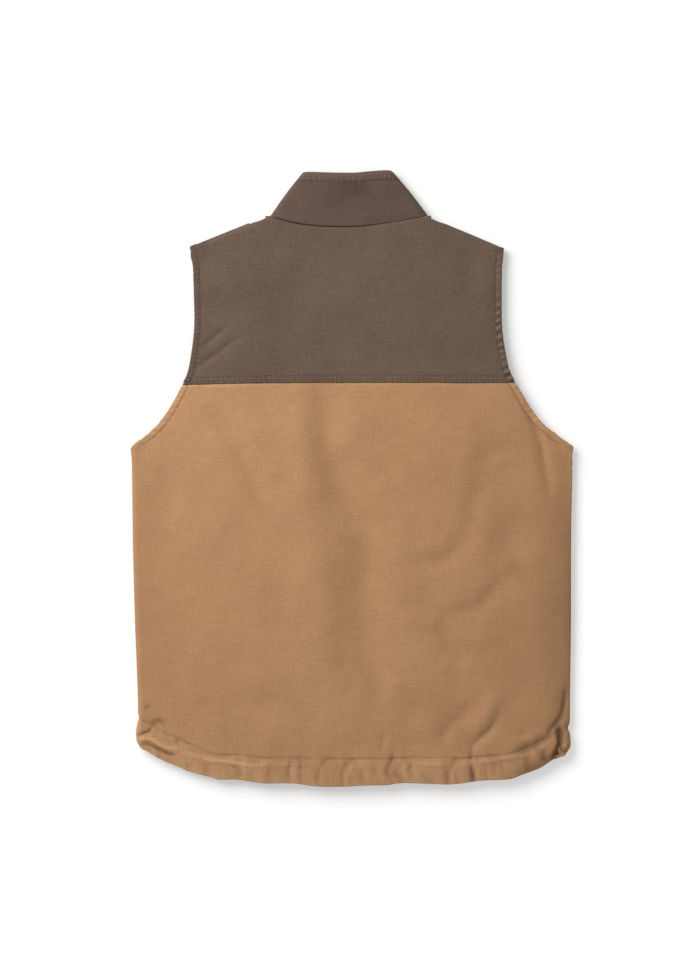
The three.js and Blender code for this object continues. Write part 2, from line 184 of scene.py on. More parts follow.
# painted light on the collar's top strip, which faces the lamp, and painted shade on the band below it in the
# middle of the back
COLLAR_STRIP_LIGHT = 0.35
COLLAR_TOP_SHADE = 0.45
COLLAR_BROAD_SHADE = 0.3
FRONT_EDGE_WEAR = 0.6
WEAR_AND_SHADE_RANGE = (-2, 1)

# The laid outline, a row for each section up the vest. centre and half are its middle and half width,
# crown the back's height over the middle, edge the height of the side edge, free 1 where that edge is
# an open armhole, and inset how far the front's armhole lies inside the back's.
Section = namedtuple("Section", "y centre half crown edge free inset")
ARMPIT = Section(ARMPIT_Y, 0, CHEST_HALF, 25, 9, 0, 0)
SHOULDER_TIP = Section(SHOULDER_TIP_Y, UPPER_LEAN, SHOULDER_HALF, 16, 8, 0, 0)
SIDE = [
    Section(-400, 1.9, 279.3, 19, 8, 0, 0),
    Section(-305, 3.2, 278, 23, 8, 0, 0),
    Section(-182, 1.9, 280.6, 26, 8.5, 0, 0),
    Section(-80, 0.6, 282, 26.5, 9, 0, 0),
    Section(24, 0.2, 283, 25.2, 9, 0, 0),
    ARMPIT,
]
ARMHOLE = [
    ARMPIT,
    Section(44.4, 0.4, 280, 25, 12, 0.5, 3),
    Section(54.7, 0.8, 266.4, 24.8, 13.6, 1, 8),
    Section(75.3, -1.3, 243.9, 24.2, 14, 1, 16),
    Section(106, -1.9, 223.9, 22.5, 14, 1, 22),
    Section(147.4, -3.5, 205.3, 20.5, 13.5, 1, 25),
    Section(209, -4.4, 198.2, 18.5, 12.5, 1, 25),
    Section(270.9, -5, 199.2, 17, 11.5, 1, 15),
    SHOULDER_TIP,
]
SHOULDER = [
    SHOULDER_TIP,
    Section(NECK_Y, UPPER_LEAN, NECK_HALF, 17, 8, 0, 0),
]
COLLAR = [
    Section(NECK_Y, -2.8, 101.6, 17, 8, 0, 0),
    Section(369, -3.8, 79.8, 16.5, 8, 0, 0),
    Section(COLLAR_TOP_Y, -4.6, COLLAR_TOP_HALF, 15, 7, 0, 0),
]

# Lower edge of the back, and how far above it the hem is sewn down. across is -1 at the left side seam.
HemPoint = namedtuple("HemPoint", "across y band")
HEM = [
    HemPoint(-1, -339, 30),
    HemPoint(-0.985, -346.1, 34),
    HemPoint(-0.948, -351.2, 36),
    HemPoint(-0.911, -357.7, 36),
    HemPoint(-0.874, -362.8, 34),
    HemPoint(-0.8, -371, 34),
    HemPoint(-0.763, -375.6, 34),
    HemPoint(-0.726, -378.5, 33),
    HemPoint(-0.652, -383.8, 29),
    HemPoint(-0.615, -386.6, 30),
    HemPoint(-0.542, -386.4, 30),
    HemPoint(-0.468, -389.4, 30.5),
    HemPoint(-0.4, -391.5, 31),
    HemPoint(-0.28, -391.2, 31),
    HemPoint(-0.219, -393.4, 32.5),
    HemPoint(-0.186, -394.8, 34),
    HemPoint(-0.094, -395.8, 34.5),
    HemPoint(-0.03, -395.4, 34),
    HemPoint(0.053, -394.2, 33),
    HemPoint(0.155, -393.6, 32.5),
    HemPoint(0.182, -392.4, 31.5),
    HemPoint(0.227, -390.8, 30.5),
    HemPoint(0.275, -391, 31),
    HemPoint(0.339, -391.8, 32),
    HemPoint(0.422, -392.6, 32.5),
    HemPoint(0.491, -391.6, 31),
    HemPoint(0.542, -389.4, 30),
    HemPoint(0.584, -387.8, 29.5),
    HemPoint(0.639, -387, 30),
    HemPoint(0.713, -386.4, 31),
    HemPoint(0.787, -379.6, 32),
    HemPoint(0.861, -371.8, 33),
    HemPoint(0.898, -365.2, 31),
    HemPoint(0.935, -358.8, 30),
    HemPoint(0.972, -355.8, 30),
    HemPoint(1, -346, 28),
]

# Top edge of the collar's back, above or below COLLAR_TOP_Y. across is -1 at its left fold.
CollarTop = namedtuple("CollarTop", "across rise")
COLLAR_TOP = [
    CollarTop(-1, -2),
    CollarTop(-0.96, -1.5),
    CollarTop(-0.3, -2.8),
    CollarTop(0.1, -3),
    CollarTop(0.5, -1),
    CollarTop(0.93, 0.6),
    CollarTop(1, -1.2),
]

# How far a side edge swells out (or in, below 0), by height
Swell = namedtuple("Swell", "side y width out")
SWELLS = [
    Swell(-1, -307, 4, -1.8),
    Swell(-1, -327, 12, 2.4),
    Swell(-1, 288, 9, 1.6),
    Swell(1, -320, 5, -3),
    Swell(1, -340, 10, 1),
    Swell(1, 39, 4, 0.8),
    Swell(1, 292, 8, -0.9),
]

# Folds of the back. path is a line of points, width and end_width its half width at either end, rise its
# height (a valley is below 0), crisp the sharpness of its crest: 2 is soft, 1 is a crease. A fold loses
# END_FADE of its rise towards its ends.
END_FADE = 0.6
END_FADE_POWER = 4
Fold = namedtuple("Fold", "path width end_width rise crisp")
FOLDS = [
    # the long fold down the middle: a ridge, the valley to its right and the far bank
    Fold([(-60, 100), (-56, 12), (-54, -34), (-48, -80), (-44, -135), (-40, -196)], 26, 34, 4.6, 2),
    Fold([(-37, 108), (-30, 35), (-10, -11), (24, -65), (29, -104), (23, -142), (17, -181), (13, -222)],
         22, 31, -5.8, 2),
    Fold([(22, 0), (52, -60), (58, -110)], 20, 26, 2.2, 2),
    # soft folds to its left
    Fold([(-176, 84), (-141, 35), (-125, 4), (-108, -32)], 10, 15, -3.6, 1.9),
    Fold([(-150, 84), (-112, 30), (-92, -20)], 16, 20, 1.6, 2),
    Fold([(-111, -143), (-85, -188)], 16, 16, -1.3, 2),
    Fold([(-238, 20), (-236, -66)], 20, 20, -1.6, 2),
    Fold([(-250, -350), (-110, -372)], 60, 60, -3, 2),
    Fold([(-201, -291), (-183, -291)], 6, 6, -0.7, 1.8),
    # the curved fold and the pulls towards the right side
    Fold([(172, 50), (166, 0), (156, -44), (136, -86)], 19, 14, -2.0, 2),
    Fold([(134, -88), (122, -98), (94, -109), (52, -122)], 8, 10, -1.5, 1.8),
    Fold([(140, -60), (112, -84), (84, -96)], 12, 12, 1, 2),
    Fold([(186, 20), (204, -50), (214, -104)], 28, 24, -3.8, 2),
    Fold([(214, -122), (163, -163), (124, -169)], 13, 8, -2.2, 1.9),
    Fold([(60, -177), (112, -180)], 10, 8, 1, 2),
    Fold([(116, -180), (128, -212), (156, -236)], 9, 16, -2.3, 1.9),
    Fold([(180, -190), (158, -208)], 18, 18, 1.4, 2),
    Fold([(24, -238), (41, -284)], 15, 15, -2.5, 1.9),
    Fold([(52, -255), (56, -290)], 13, 13, 1.3, 2),
    # low on the right
    Fold([(190, -274), (172, -305), (156, -322)], 14, 11, 3, 2),
    Fold([(188, -302), (172, -325), (156, -341), (152, -350)], 6, 5, -2, 1.7),
    Fold([(154, -294), (136, -309), (124, -317), (118, -329), (116, -340)], 10, 8, -2.4, 1.8),
    Fold([(45, -331), (42, -351)], 4, 4, -1.1, 1.7),
    Fold([(71, -338), (85, -346)], 8, 8, -0.8, 2),
    Fold([(217, -322), (218, -334)], 8, 8, -1.2, 1.9),
    # the slope down to the right side
    Fold([(298, 10), (298, -100), (296, -230), (288, -340)], 100, 100, -3.5, 2),
    Fold([(297, 40), (298, -100), (296, -230), (288, -340)], 40, 44, -5.5, 2),
    # under the right armhole
    Fold([(224, 96), (236, 64), (243, 41), (248.5, 15), (256, -24)], 6, 8, -3, 1.7),
    # yoke
    Fold([(-192, 165), (-160, 192)], 3.6, 4, -1.6, 1.6),
    Fold([(-196, 142), (-176, 155), (-156, 171), (-140, 181)], 3.6, 5, -1.9, 1.6),
    Fold([(-92, 281), (-60, 262)], 26, 26, -0.9, 2),
    Fold([(150, 300), (156, 225)], 18, 18, -1.5, 2),
    Fold([(172, 290), (172, 205)], 10, 10, 0.7, 2),
    # collar
    Fold([(-10, 378), (40, 376)], 22, 22, -1.4, 2),
]

# Sharp tucks at the corners of the hem. They keep their depth up to the side edges.
TUCKS = [
    Fold([(-275, -331), (-267, -328), (-259, -325), (-257, -320)], 1.9, 1.9, -2.2, 1.6),
    Fold([(-257, -316), (-246, -312), (-238, -317)], 4, 3, -1.6, 1.8),
    Fold([(-270, -335), (-256, -336), (-236, -346), (-221, -349)], 3, 3, 1.3, 2),
    Fold([(-272, -341), (-258, -341), (-250, -346), (-240, -350.5), (-226, -356)], 3, 2.6, -1.2, 1.8),
    Fold([(-226, -337), (-222, -339)], 4, 4, -0.8, 1.8),
    Fold([(-263, -291), (-260, -297)], 4, 4, -1, 1.8),
    Fold([(-216, -353), (-197, -357), (-181, -361), (-163, -364), (-141, -366), (-126, -369), (-114, -368),
          (-107, -362)], 3, 3, 1, 2),
    Fold([(277, -272), (269, -304), (262, -316), (254, -329)], 3.6, 3.6, -2, 1.8),
    Fold([(252, -331), (236, -341), (216, -350)], 6, 6, -2, 2),
    Fold([(268, -320), (269, -337), (266, -348), (261, -358)], 3.2, 4, -5, 1.7),
    Fold([(160, -366), (182, -362), (199, -358), (215, -356), (231, -351)], 3, 3, 0.7, 2),
    Fold([(278, -341), (269, -344)], 2.6, 2.6, 1, 2),
    Fold([(278, -350), (267, -351)], 2.2, 2.2, -1.8, 1.7),
    Fold([(216, -388), (236, -378), (252, -367), (262, -360)], 12, 12, -1.9, 2),
]

# Gathers of the hem, between its edge and its stitch line
GATHERS = [
    Fold([(-210, -352), (-206, -372)], 5, 6, -0.6, 2),
    Fold([(-184, -362), (-181, -380)], 5, 6, -0.7, 2),
    Fold([(-155, -366), (-146, -376), (-141, -386)], 3.6, 5, -1.5, 1.8),
    Fold([(-139, -368), (-135, -384)], 4, 4, 0.6, 2),
    Fold([(-105, -372), (-104, -390)], 4, 5, -0.8, 2),
    Fold([(-79.5, -362), (-79.5, -392)], 2.6, 3.4, -1.5, 1.8),
    Fold([(-72, -366), (-72, -388)], 3, 3, 0.6, 2),
    Fold([(-67.6, -354), (-65.6, -364), (-66.3, -390)], 2.6, 3, -1, 1.9),
    Fold([(-32, -362), (-37, -367)], 2.6, 2.6, -1.4, 1.8),
    Fold([(-39, -372), (-42, -378), (-43, -392)], 3, 4, -0.7, 1.9),
    Fold([(-24, -366), (-20, -372)], 4, 4, 0.7, 2),
    Fold([(0, -359), (-7.3, -368), (-10.2, -375), (-10.2, -394)], 2.4, 2.8, -1.2, 1.8),
    Fold([(-3, -371), (-3, -388)], 3, 3, 0.6, 2),
    Fold([(13, -378), (15, -392)], 3, 4, -1.2, 1.9),
    Fold([(29, -364), (27, -386)], 3, 4, -0.5, 2),
    Fold([(55, -351), (53, -359), (47, -370), (47.4, -382), (52, -392)], 2.6, 3.2, -1.2, 1.8),
    Fold([(60, -378), (63, -391)], 4, 5, -1.5, 1.9),
    Fold([(69, -366), (70, -386)], 3.6, 3.6, 0.7, 2),
    Fold([(76, -368), (78, -381)], 2.6, 3, -1.3, 1.8),
    Fold([(97, -366), (112, -368)], 7, 7, 0.6, 2),
    Fold([(135, -359), (127, -370), (123, -382), (122.5, -392)], 2.6, 3, -1.1, 1.8),
    Fold([(134, -370), (152, -367)], 3.4, 3.4, 0.6, 2),
    Fold([(155, -350), (154, -362)], 2.8, 2.8, -1.4, 1.9),
    Fold([(155, -368), (156, -390)], 2.8, 4, -3.2, 1.7),
    Fold([(163, -366), (163, -386)], 3, 3, 0.6, 2),
    Fold([(174, -366), (173, -384)], 2.4, 2.4, -0.5, 2),
    Fold([(184, -364), (185, -382)], 2.4, 2.4, -0.5, 2),
    Fold([(194, -362), (194, -380)], 2.4, 2.4, -0.5, 2),
    Fold([(226, -350), (228, -372)], 4, 5, -1.2, 1.9),
    Fold([(246, -350), (247, -364)], 4, 5, -1.2, 2),
]

# Painted shade: canvas darkened beside the deepest tucks and gathers, along the side seams where the cloth
# turns down over its folds, and along the lower right of the hem where it curls down; and two broad patches
# that are a little darker. It changes the colour only: the further rise is below 0, the darker.
DARKENED = [
    Fold([(-274, 34), (-272, -140), (-264, -300)], 46, 46, -0.36, 2),
    Fold([(276, 10), (274, -140), (268, -300)], 24, 26, -0.42, 2),
    Fold([(-190, -220), (-130, -290)], 70, 70, -0.11, 2),
    Fold([(190, 70), (206, -120), (170, -280)], 60, 70, -0.1, 2),
    Fold([(-271, -342), (-258, -342), (-244, -349), (-228, -355)], 2.6, 2.2, -1.1, 2),
    Fold([(-254, -312), (-250, -318)], 6, 6, -0.35, 2),
    Fold([(263, -320), (267, -340), (260, -356)], 2.6, 3.4, -1.2, 2),
    Fold([(270, -268), (257, -318)], 9, 8, -0.4, 2),
    Fold([(156, -376), (156, -391)], 3, 3.6, -0.9, 2),
    Fold([(214, -376), (236, -366), (256, -356)], 6, 10, -0.42, 2),
]


def curve(rows, by, at, name):
    """Smooth curve through one column of a table, without overshoot."""
    knots = np.array([getattr(row, by) for row in rows], float)
    values = np.array([getattr(row, name) for row in rows], float)
    spans = np.diff(knots)
    secants = np.diff(values) / spans
    product = secants[:-1] * secants[1:]
    total = secants[:-1] + secants[1:]
    inner = np.where(product > 0, 2 * product / np.where(total == 0, 1, total), 0)
    slopes = np.concatenate([secants[:1], inner, secants[-1:]])
    at = np.clip(at, knots[0], knots[-1])
    index = np.clip(np.searchsorted(knots, at) - 1, 0, len(spans) - 1)
    span = spans[index]
    s = (at - knots[index]) / span
    blend = s * s * (3 - 2 * s)
    bend = s * (1 - s) * span * ((1 - s) * slopes[index] - s * slopes[index + 1])
    return values[index] * (1 - blend) + values[index + 1] * blend + bend


def section(y, name):
    """One column of the laid outline at each height up the vest."""
    side = curve(SIDE, "y", y, name)
    stretches = [(NECK_Y, COLLAR), (SHOULDER_TIP_Y, SHOULDER), (ARMPIT_Y, ARMHOLE)]
    above = [y > low for low, _ in stretches]
    return np.select(above, [curve(rows, "y", y, name) for _, rows in stretches], side)


def mix(a, b, share):
    return a + (b - a) * share


def ease(low, high, value):
    share = np.clip((value - low) / (high - low), 0, 1)
    return share * share * (3 - 2 * share)


def near(away, width, power=2):
    """1 on a line or spot, falling off to 0 about width away."""
    return np.exp(-(np.abs(away / width) ** power))


def rumple(x, y, size, seed):
    """Smooth random heights from -1 to 1, with bumps about size apart."""
    cells = 64
    lattice = np.random.default_rng(seed).uniform(-1, 1, (cells, cells))
    i = np.floor(x / size).astype(int)
    j = np.floor(y / size).astype(int)
    s = ease(0, 1, x / size - i)
    t = ease(0, 1, y / size - j)
    low = mix(lattice[i % cells, j % cells], lattice[(i + 1) % cells, j % cells], s)
    high = mix(lattice[i % cells, (j + 1) % cells], lattice[(i + 1) % cells, (j + 1) % cells], s)
    return mix(low, high, t)


def strayed(x, y, size, reach, seed):
    """Points moved a little and unevenly, so that a fold doesn't run like a drawn line."""
    return x + reach * rumple(x, y, size, seed), y + reach * rumple(x, y, size, seed + 1)


def puckers(run, away, pitch, seed):
    """Puckers that a washed seam draws across itself, about pitch apart: dips below 0, crests above."""
    stray = PUCKER_STRAY * pitch * rumple(run, 0 * run, 2.2 * pitch, seed)
    shifted = run + PUCKER_SLANT * away + stray
    strength = PUCKER_STRENGTH + PUCKER_CHANGE * rumple(run, 0.1 * away, 1.6 * pitch, seed + 1)
    return strength * np.sin(2 * math.pi * shifted / pitch)


def fold_rise(x, y, folds):
    """Height that folds add at each point."""
    rise = np.zeros_like(x)
    for fold in folds:
        points = np.array(fold.path, float)
        lengths = np.linalg.norm(np.diff(points, axis=0), axis=1)
        starts = np.concatenate([[0], np.cumsum(lengths)])
        nearest = np.full_like(x, 1e9)
        along = np.zeros_like(x)
        for start, end, length, before in zip(points[:-1], points[1:], lengths, starts):
            way = (end - start) / length
            run = np.clip((x - start[0]) * way[0] + (y - start[1]) * way[1], 0, length)
            away = np.hypot(x - start[0] - run * way[0], y - start[1] - run * way[1])
            closer = away < nearest
            nearest = np.where(closer, away, nearest)
            along = np.where(closer, (before + run) / starts[-1], along)
        fade = 1 - END_FADE * (2 * along - 1) ** END_FADE_POWER
        rise += fold.rise * fade * near(nearest, mix(fold.width, fold.end_width, along), fold.crisp)
    return rise


def hem_y(across):
    return curve(HEM, "across", across, "y")


def hem_band(across):
    return curve(HEM, "across", across, "band")


def side_swell(y, across):
    """How far the side edges swell out, towards the right."""
    out = np.zeros_like(y)
    for swell in SWELLS:
        at_edge = np.clip(across * swell.side, 0, 1) ** SWELL_POWER
        out += swell.side * swell.out * near(y - swell.y, swell.width) * at_edge
    return out


def fold_width(x, y):
    """Width in which the cloth rolls over a side fold. The shoulders slant, so theirs is wider."""
    side = np.where(x > 0, RIGHT_FOLD_WIDTH, LEFT_FOLD_WIDTH)
    tip_low, tip_high = (SHOULDER_TIP_Y + step for step in TIP_BLEND)
    below_neck = mix(side, SHOULDER_FOLD_WIDTH, ease(tip_low, tip_high, y))
    return mix(below_neck, COLLAR_FOLD_WIDTH, ease(NECK_Y, NECK_Y + COLLAR_BLEND, y))


def fold_turn(x, y):
    """Share of its height that the cloth has reached: 0 on a side fold, 1 past its roll."""
    inside = np.clip(section(y, "half") - np.abs(x - section(y, "centre")), 0, None)
    start = np.clip(1 - inside / fold_width(x, y), 0, 1)
    return np.sqrt(1 - start * start)


def shelf_height(x, y):
    """Height of the back just inside its side folds, from where it domes up to the crown."""
    side_roll = np.where(x > 0, RIGHT_FOLD_ROLL, LEFT_FOLD_ROLL)
    below = section(np.minimum(y, ARMPIT_Y), "edge") + EDGE_ROLL + SEAM_SPLIT + side_roll
    high = np.maximum(y, ARMHOLE_OPEN_Y)
    above = section(high, "edge") + (EDGE_ROLL + SEAM_SPLIT + SHOULDER_ROLL) * (1 - section(high, "free"))
    return mix(below, above, ease(SHELF_LOW_Y, ARMHOLE_OPEN_Y, y))


def back_height(x, y):
    """Outer face of the back before its seams: the side folds, the dome of the crown, and the folds in it."""
    free = section(y, "free")
    broad_half = sum(section(y + step, "half") for step in DOME_STEPS) / len(DOME_STEPS)
    across = np.clip(np.abs(x - section(y, "centre")) / broad_half, 0, 1)
    edge = section(y, "edge") + (EDGE_ROLL + SEAM_SPLIT) * (1 - free)
    shelf = shelf_height(x, y)
    dome = (section(y, "crown") - shelf) * (1 - across ** DOME_POWER)
    turn = mix(fold_turn(x, y), 1, free)
    folds = fold_rise(*strayed(x, y, size=64, reach=4, seed=61), FOLDS)
    return edge + turn * (shelf - edge + dome + folds)


def front_height(x, y):
    """Outer face of the fronts, which lie on the floor and rise into the side and shoulder folds."""
    reach = section(y, "half") - section(y, "inset")
    across = np.clip(np.abs(x - section(y, "centre")) / reach, 0, 1)
    lift = np.maximum(across - FLOOR_SHARE, 0) / (1 - FLOOR_SHARE)
    edge = section(y, "edge") - EDGE_ROLL - SEAM_SPLIT
    return edge * (1 - section(y, "free")) * (1 - np.sqrt(1 - lift ** FLOOR_POWER))


def armhole_inward(across, y):
    """Distance in from the edge of an armhole, square to it."""
    slope = (section(y + 1, "half") - section(y - 1, "half")) / 2
    return (1 - np.abs(across)) * section(y, "half") / np.sqrt(1 + slope * slope)


def by_armhole(across, name):
    """One value of the armhole on the side where each point lies."""
    return np.where(across > 0, getattr(RIGHT_ARMHOLE, name), getattr(LEFT_ARMHOLE, name))


def armhole_puckers(across, y):
    """Puckers round the armholes: long and strong on the right of the yoke, short and weaker elsewhere."""
    inward = armhole_inward(across, y)
    run = y - ARMHOLE_SLANT * section(y, "half")
    right, left = (puckers(run, inward, hole.pitch, hole.seed) for hole in (RIGHT_ARMHOLE, LEFT_ARMHOLE))
    height = np.where(y > YOKE_SEAM_Y, by_armhole(across, "pucker"), LOW_PUCKER)
    return section(y, "free") * np.where(across > 0, right, left) * height


def armhole_relief(across, y):
    """Turned armhole edge: a soft roll outside the stitch line, the groove of the line, and its puckers."""
    inward = armhole_inward(across, y)
    band = near(inward - ARMHOLE_BAND, width=4.4, power=4)
    depth = np.where(y > YOKE_SEAM_Y, by_armhole(across, "groove"), by_armhole(across, "low_groove"))
    line = depth * near(inward - ARMHOLE_STITCH, width=1.5)
    return section(y, "free") * (ARMHOLE_BAND_RISE * band - line) + band * armhole_puckers(across, y)


def armhole_waver(across, y):
    """How far the puckers push an armhole's edge out, towards the right."""
    at_edge = near(armhole_inward(across, y), width=4)
    return ARMHOLE_WAVER * np.sign(across) * armhole_puckers(across, y) * at_edge


def shoulder_y(half, side):
    """Shoulder line, which dips a little beside the collar and lies lower on the right."""
    straight = mix(SHOULDER_TIP_Y, NECK_Y, (SHOULDER_HALF - half) / (SHOULDER_HALF - NECK_HALF))
    lower = RIGHT_SHOULDER_DROP * ease(NECK_HALF, NECK_HALF + RIGHT_DROP_RUN, half) * (side > 0)
    return straight - lower - SHOULDER_DIP * near(half - NECK_HALF - SHOULDER_DIP_RUN, SHOULDER_DIP_RUN)


def yoke_seam_y(across):
    """Lower edge of the back yoke, which bows a little lower towards the left."""
    bow = np.where(across < 0, LEFT_YOKE_BOW, RIGHT_YOKE_BOW)
    return YOKE_SEAM_Y + YOKE_SEAM_RISE - bow * across * across


def back_neck_y(out):
    """Neck seam of the back. out runs from its middle, below 0 to the left, where the seam drops faster."""
    out = np.clip(out / NECK_HALF, -1, 1)
    power = np.where(out < 0, LEFT_NECK_CURVE, RIGHT_NECK_CURVE)
    return NECK_Y - BACK_NECK_DIP * (1 - np.abs(out) ** power)


def front_neck_y(half):
    return NECK_Y - FRONT_NECK_DIP * (1 - np.abs(half / NECK_HALF) ** FRONT_NECK_CURVE)


def collar_front_y(across):
    return COLLAR_TOP_Y - COLLAR_FRONT_DROP * (1 - np.abs(across) ** COLLAR_FRONT_CURVE)


def canvas_rumple(x, y, seed):
    """Slight unevenness of washed canvas."""
    bumps = enumerate(CANVAS_RUMPLES, seed)
    return sum(bump.rise * rumple(x, y, bump.size, bump_seed) for bump_seed, bump in bumps)


def place(x, y, z):
    return np.stack([x, y, z], axis=-1)


def panel_spot(across, v):
    """Where a point of the back panel lies, seen from above. Its top edge is tucked in under the yoke."""
    y = mix(hem_y(across) + EDGE_ROLL, YOKE_SEAM_Y + UNDERLAP, v)
    seam = yoke_seam_y(across)
    tucked = UNDERLAP_INSET * ease(seam - 2, seam + 3, y)
    half = section(y, "half") - EDGE_ROLL * section(y, "free") - tucked
    return section(y, "centre") + half * across, y


def panel_seams(x, y, across):
    """Small relief along the panel's seams: the hem's stitch line, tucks and gathers, and the armholes."""
    band = hem_band(across)
    above = y - hem_y(across) - EDGE_ROLL
    depth = HEM_GROOVE_CHANGE * rumple(x, 0 * x, size=14, seed=29) - HEM_GROOVE
    line = depth * near(above - band, width=1.3)
    crest = np.clip(rumple(x, 0 * x, size=34, seed=26) + 0.3, 0, 1)
    ridge = HEM_RIDGE * crest * near(above - band + HEM_RIDGE_BELOW, width=2.4)
    in_hem = 1 - ease(0.8, 1.5, above / band)
    ripple = HEM_RIPPLE * rumple(x + 0.25 * above, 0.25 * above, size=6, seed=25) * in_hem
    spot = strayed(x, y, size=13, reach=1.6, seed=27)
    corners = ease(0, 0.02, 1 - np.abs(across)) * fold_rise(*spot, TUCKS)
    gathers = (0.8 + 0.5 * rumple(x, y, size=9, seed=28)) * fold_rise(*spot, GATHERS)
    seam = yoke_seam_y(across)
    armholes = armhole_relief(across, y) * ease(seam, seam - 4, y)
    return line + ridge + ripple + corners + gathers + armholes


def back_panel(across, v):
    """Tan lower back, from the hem to under the yoke."""
    x, y = panel_spot(across, v)
    in_band = np.clip((y - hem_y(across) - EDGE_ROLL) / hem_band(across), 0, 1)
    puffed = HEM_PUFF + HEM_PUFF_CHANGE * rumple(x, 0 * x, size=26, seed=24)
    puff = puffed * np.sin(math.pi * in_band) ** 0.8
    seam = yoke_seam_y(across)
    under_yoke = -UNDER_YOKE_DIP * ease(seam - 1, seam + 2.5, y)
    washed = fold_turn(x, y) * (puff + canvas_rumple(x, y, seed=21))
    relief = washed + panel_seams(x, y, across) + under_yoke
    lowest = (section(y, "edge") + EDGE_ROLL + SEAM_SPLIT) * (1 - section(y, "free"))
    z = np.maximum(back_height(x, y) + relief, lowest)
    waver = armhole_waver(across, y) * ease(seam, seam - 4, y)
    return place(x + side_swell(y, across) + waver, y, z)


def panel_wear_and_shade(across, v):
    """Wear and painted shade of the panel: pale where seam crests and its hem rub, painted shade in tucks,
    gathers and stitch lines, and the darkening of the darkened table.
    """
    x, y = panel_spot(across, v)
    under_yoke = UNDER_YOKE_WEAR * near(yoke_seam_y(across) - y - 2.5, width=1.4) * ease(-60, -150, x)
    above = y - hem_y(across)
    rubbed = under_yoke + HEM_EDGE_WEAR * near(above, width=2.5) + HEM_FADE * near(above, width=26, power=6)
    # seam relief as colour: crests paler, hollows with painted shade; then the darkened table's painted shade
    return PANEL_SEAM_WEAR_AND_SHADE * panel_seams(x, y, across) + rubbed + fold_rise(x, y, DARKENED)


def yoke_top_y(across):
    """Upper edge of the back yoke: the shoulders, and between them a line under the collar."""
    half = SHOULDER_HALF * np.abs(across)
    under_collar = UNDERLAP * ease(NECK_HALF, NECK_HALF - 14, half)
    left_lift = LEFT_SHOULDER_LIFT * ease(NECK_HALF, SHOULDER_HALF, half) * (across < 0)
    top = np.where(half < NECK_HALF, back_neck_y(SHOULDER_HALF * across), shoulder_y(half, across))
    return top + under_collar + left_lift


def yoke_spot(across, v):
    """Where a point of the back yoke lies, seen from above."""
    y = mix(yoke_seam_y(across) + EDGE_ROLL, yoke_top_y(across), v)
    level = np.minimum(y, SHOULDER_TIP_Y)
    half = section(level, "half") - EDGE_ROLL * section(level, "free")
    return section(level, "centre") + half * across, y


def yoke_seams(x, y, across):
    """Small relief along the yoke's seams: two stitch lines, the puckers between them, and the armholes."""
    above = y - yoke_seam_y(across)
    lines = sum(near(above - row, width=1.1) for row in YOKE_STITCHES)
    ladder = YOKE_LADDER * puckers(x, above, LADDER_PITCH, seed=31) * near(above - 5, width=4.5, power=4)
    return ladder - YOKE_GROOVE * lines + armhole_relief(across, y)


def back_yoke(across, v):
    """Dark upper back, from its folded lower edge to the shoulders and under the collar."""
    x, y = yoke_spot(across, v)
    half = SHOULDER_HALF * np.abs(across)
    above = y - yoke_seam_y(across)
    lap = YOKE_LAP + (YOKE_EDGE_LAP - YOKE_LAP) * np.exp(-above / 16)
    into_neck = y - back_neck_y(SHOULDER_HALF * across)
    neck_dip = -UNDER_COLLAR_DIP * ease(-2.5, 2, into_neck) * (half < NECK_HALF)
    washed = fold_turn(x, y) * (lap + neck_dip + YOKE_RUMPLE * canvas_rumple(x, y, seed=33))
    relief = washed + yoke_seams(x, y, across)
    return place(x + side_swell(y, across) + armhole_waver(across, y), y, back_height(x, y) + relief)


def yoke_wear_and_shade(across, v):
    """Wear and painted shade of the yoke: pale on the crests of its seams where they rub, painted shade in
    its stitch lines and between its puckers, dark along the left armhole, and a little more faded towards the
    right."""
    x, y = yoke_spot(across, v)
    soiled = ARMHOLE_SOIL * near(armhole_inward(across, y), width=7.6, power=6) * (across < 0)
    faded = YOKE_FADE * ease(-110, 20, x)
    # seam relief as colour: crests paler, stitch lines and pucker hollows with painted shade
    return DARK_SEAM_WEAR_AND_SHADE * yoke_seams(x, y, across) + faded - soiled


def collar_spot(around, v):
    """Where a point of the collar lies, seen from above, and how far from its top edge and neck seam."""
    turn = 2 * around
    fold_y = mix(NECK_Y + EDGE_ROLL, COLLAR_TOP_Y - EDGE_ROLL, v)
    centre = section(fold_y, "centre")
    half = section(fold_y, "half")
    at_back = np.abs(turn) <= 1
    side = np.sign(turn)
    front_x = mix(centre + side * half, side * ZIP_EDGE, np.clip(np.abs(turn) - 1, 0, 1))
    x = np.where(at_back, centre + half * turn, front_x)
    across = np.clip(np.abs(x - centre) / half, 0, 1)
    back_low = back_neck_y(NECK_HALF * across * side)
    low = np.where(at_back, back_low, front_neck_y(NECK_HALF * across)) + EDGE_ROLL
    back_high = COLLAR_TOP_Y + curve(COLLAR_TOP, "across", across * side, "rise")
    front_high = collar_front_y(across) + curve(COLLAR_TOP, "across", side, "rise") * across * across
    high = np.where(at_back, back_high, front_high) - EDGE_ROLL
    return x, mix(low, high, v), (1 - v) * (high - low) + EDGE_ROLL, v * (high - low)


def collar_seams(x, below_top):
    """Small relief along the collar's top edge: its stitch line and the puckers outside it."""
    line = near(below_top - COLLAR_STITCH, width=1.5)
    strip = near(below_top - 8, width=3.6, power=4)
    ladder = COLLAR_LADDER * puckers(x, below_top, LADDER_PITCH, seed=41) * strip
    return ladder - COLLAR_GROOVE * line


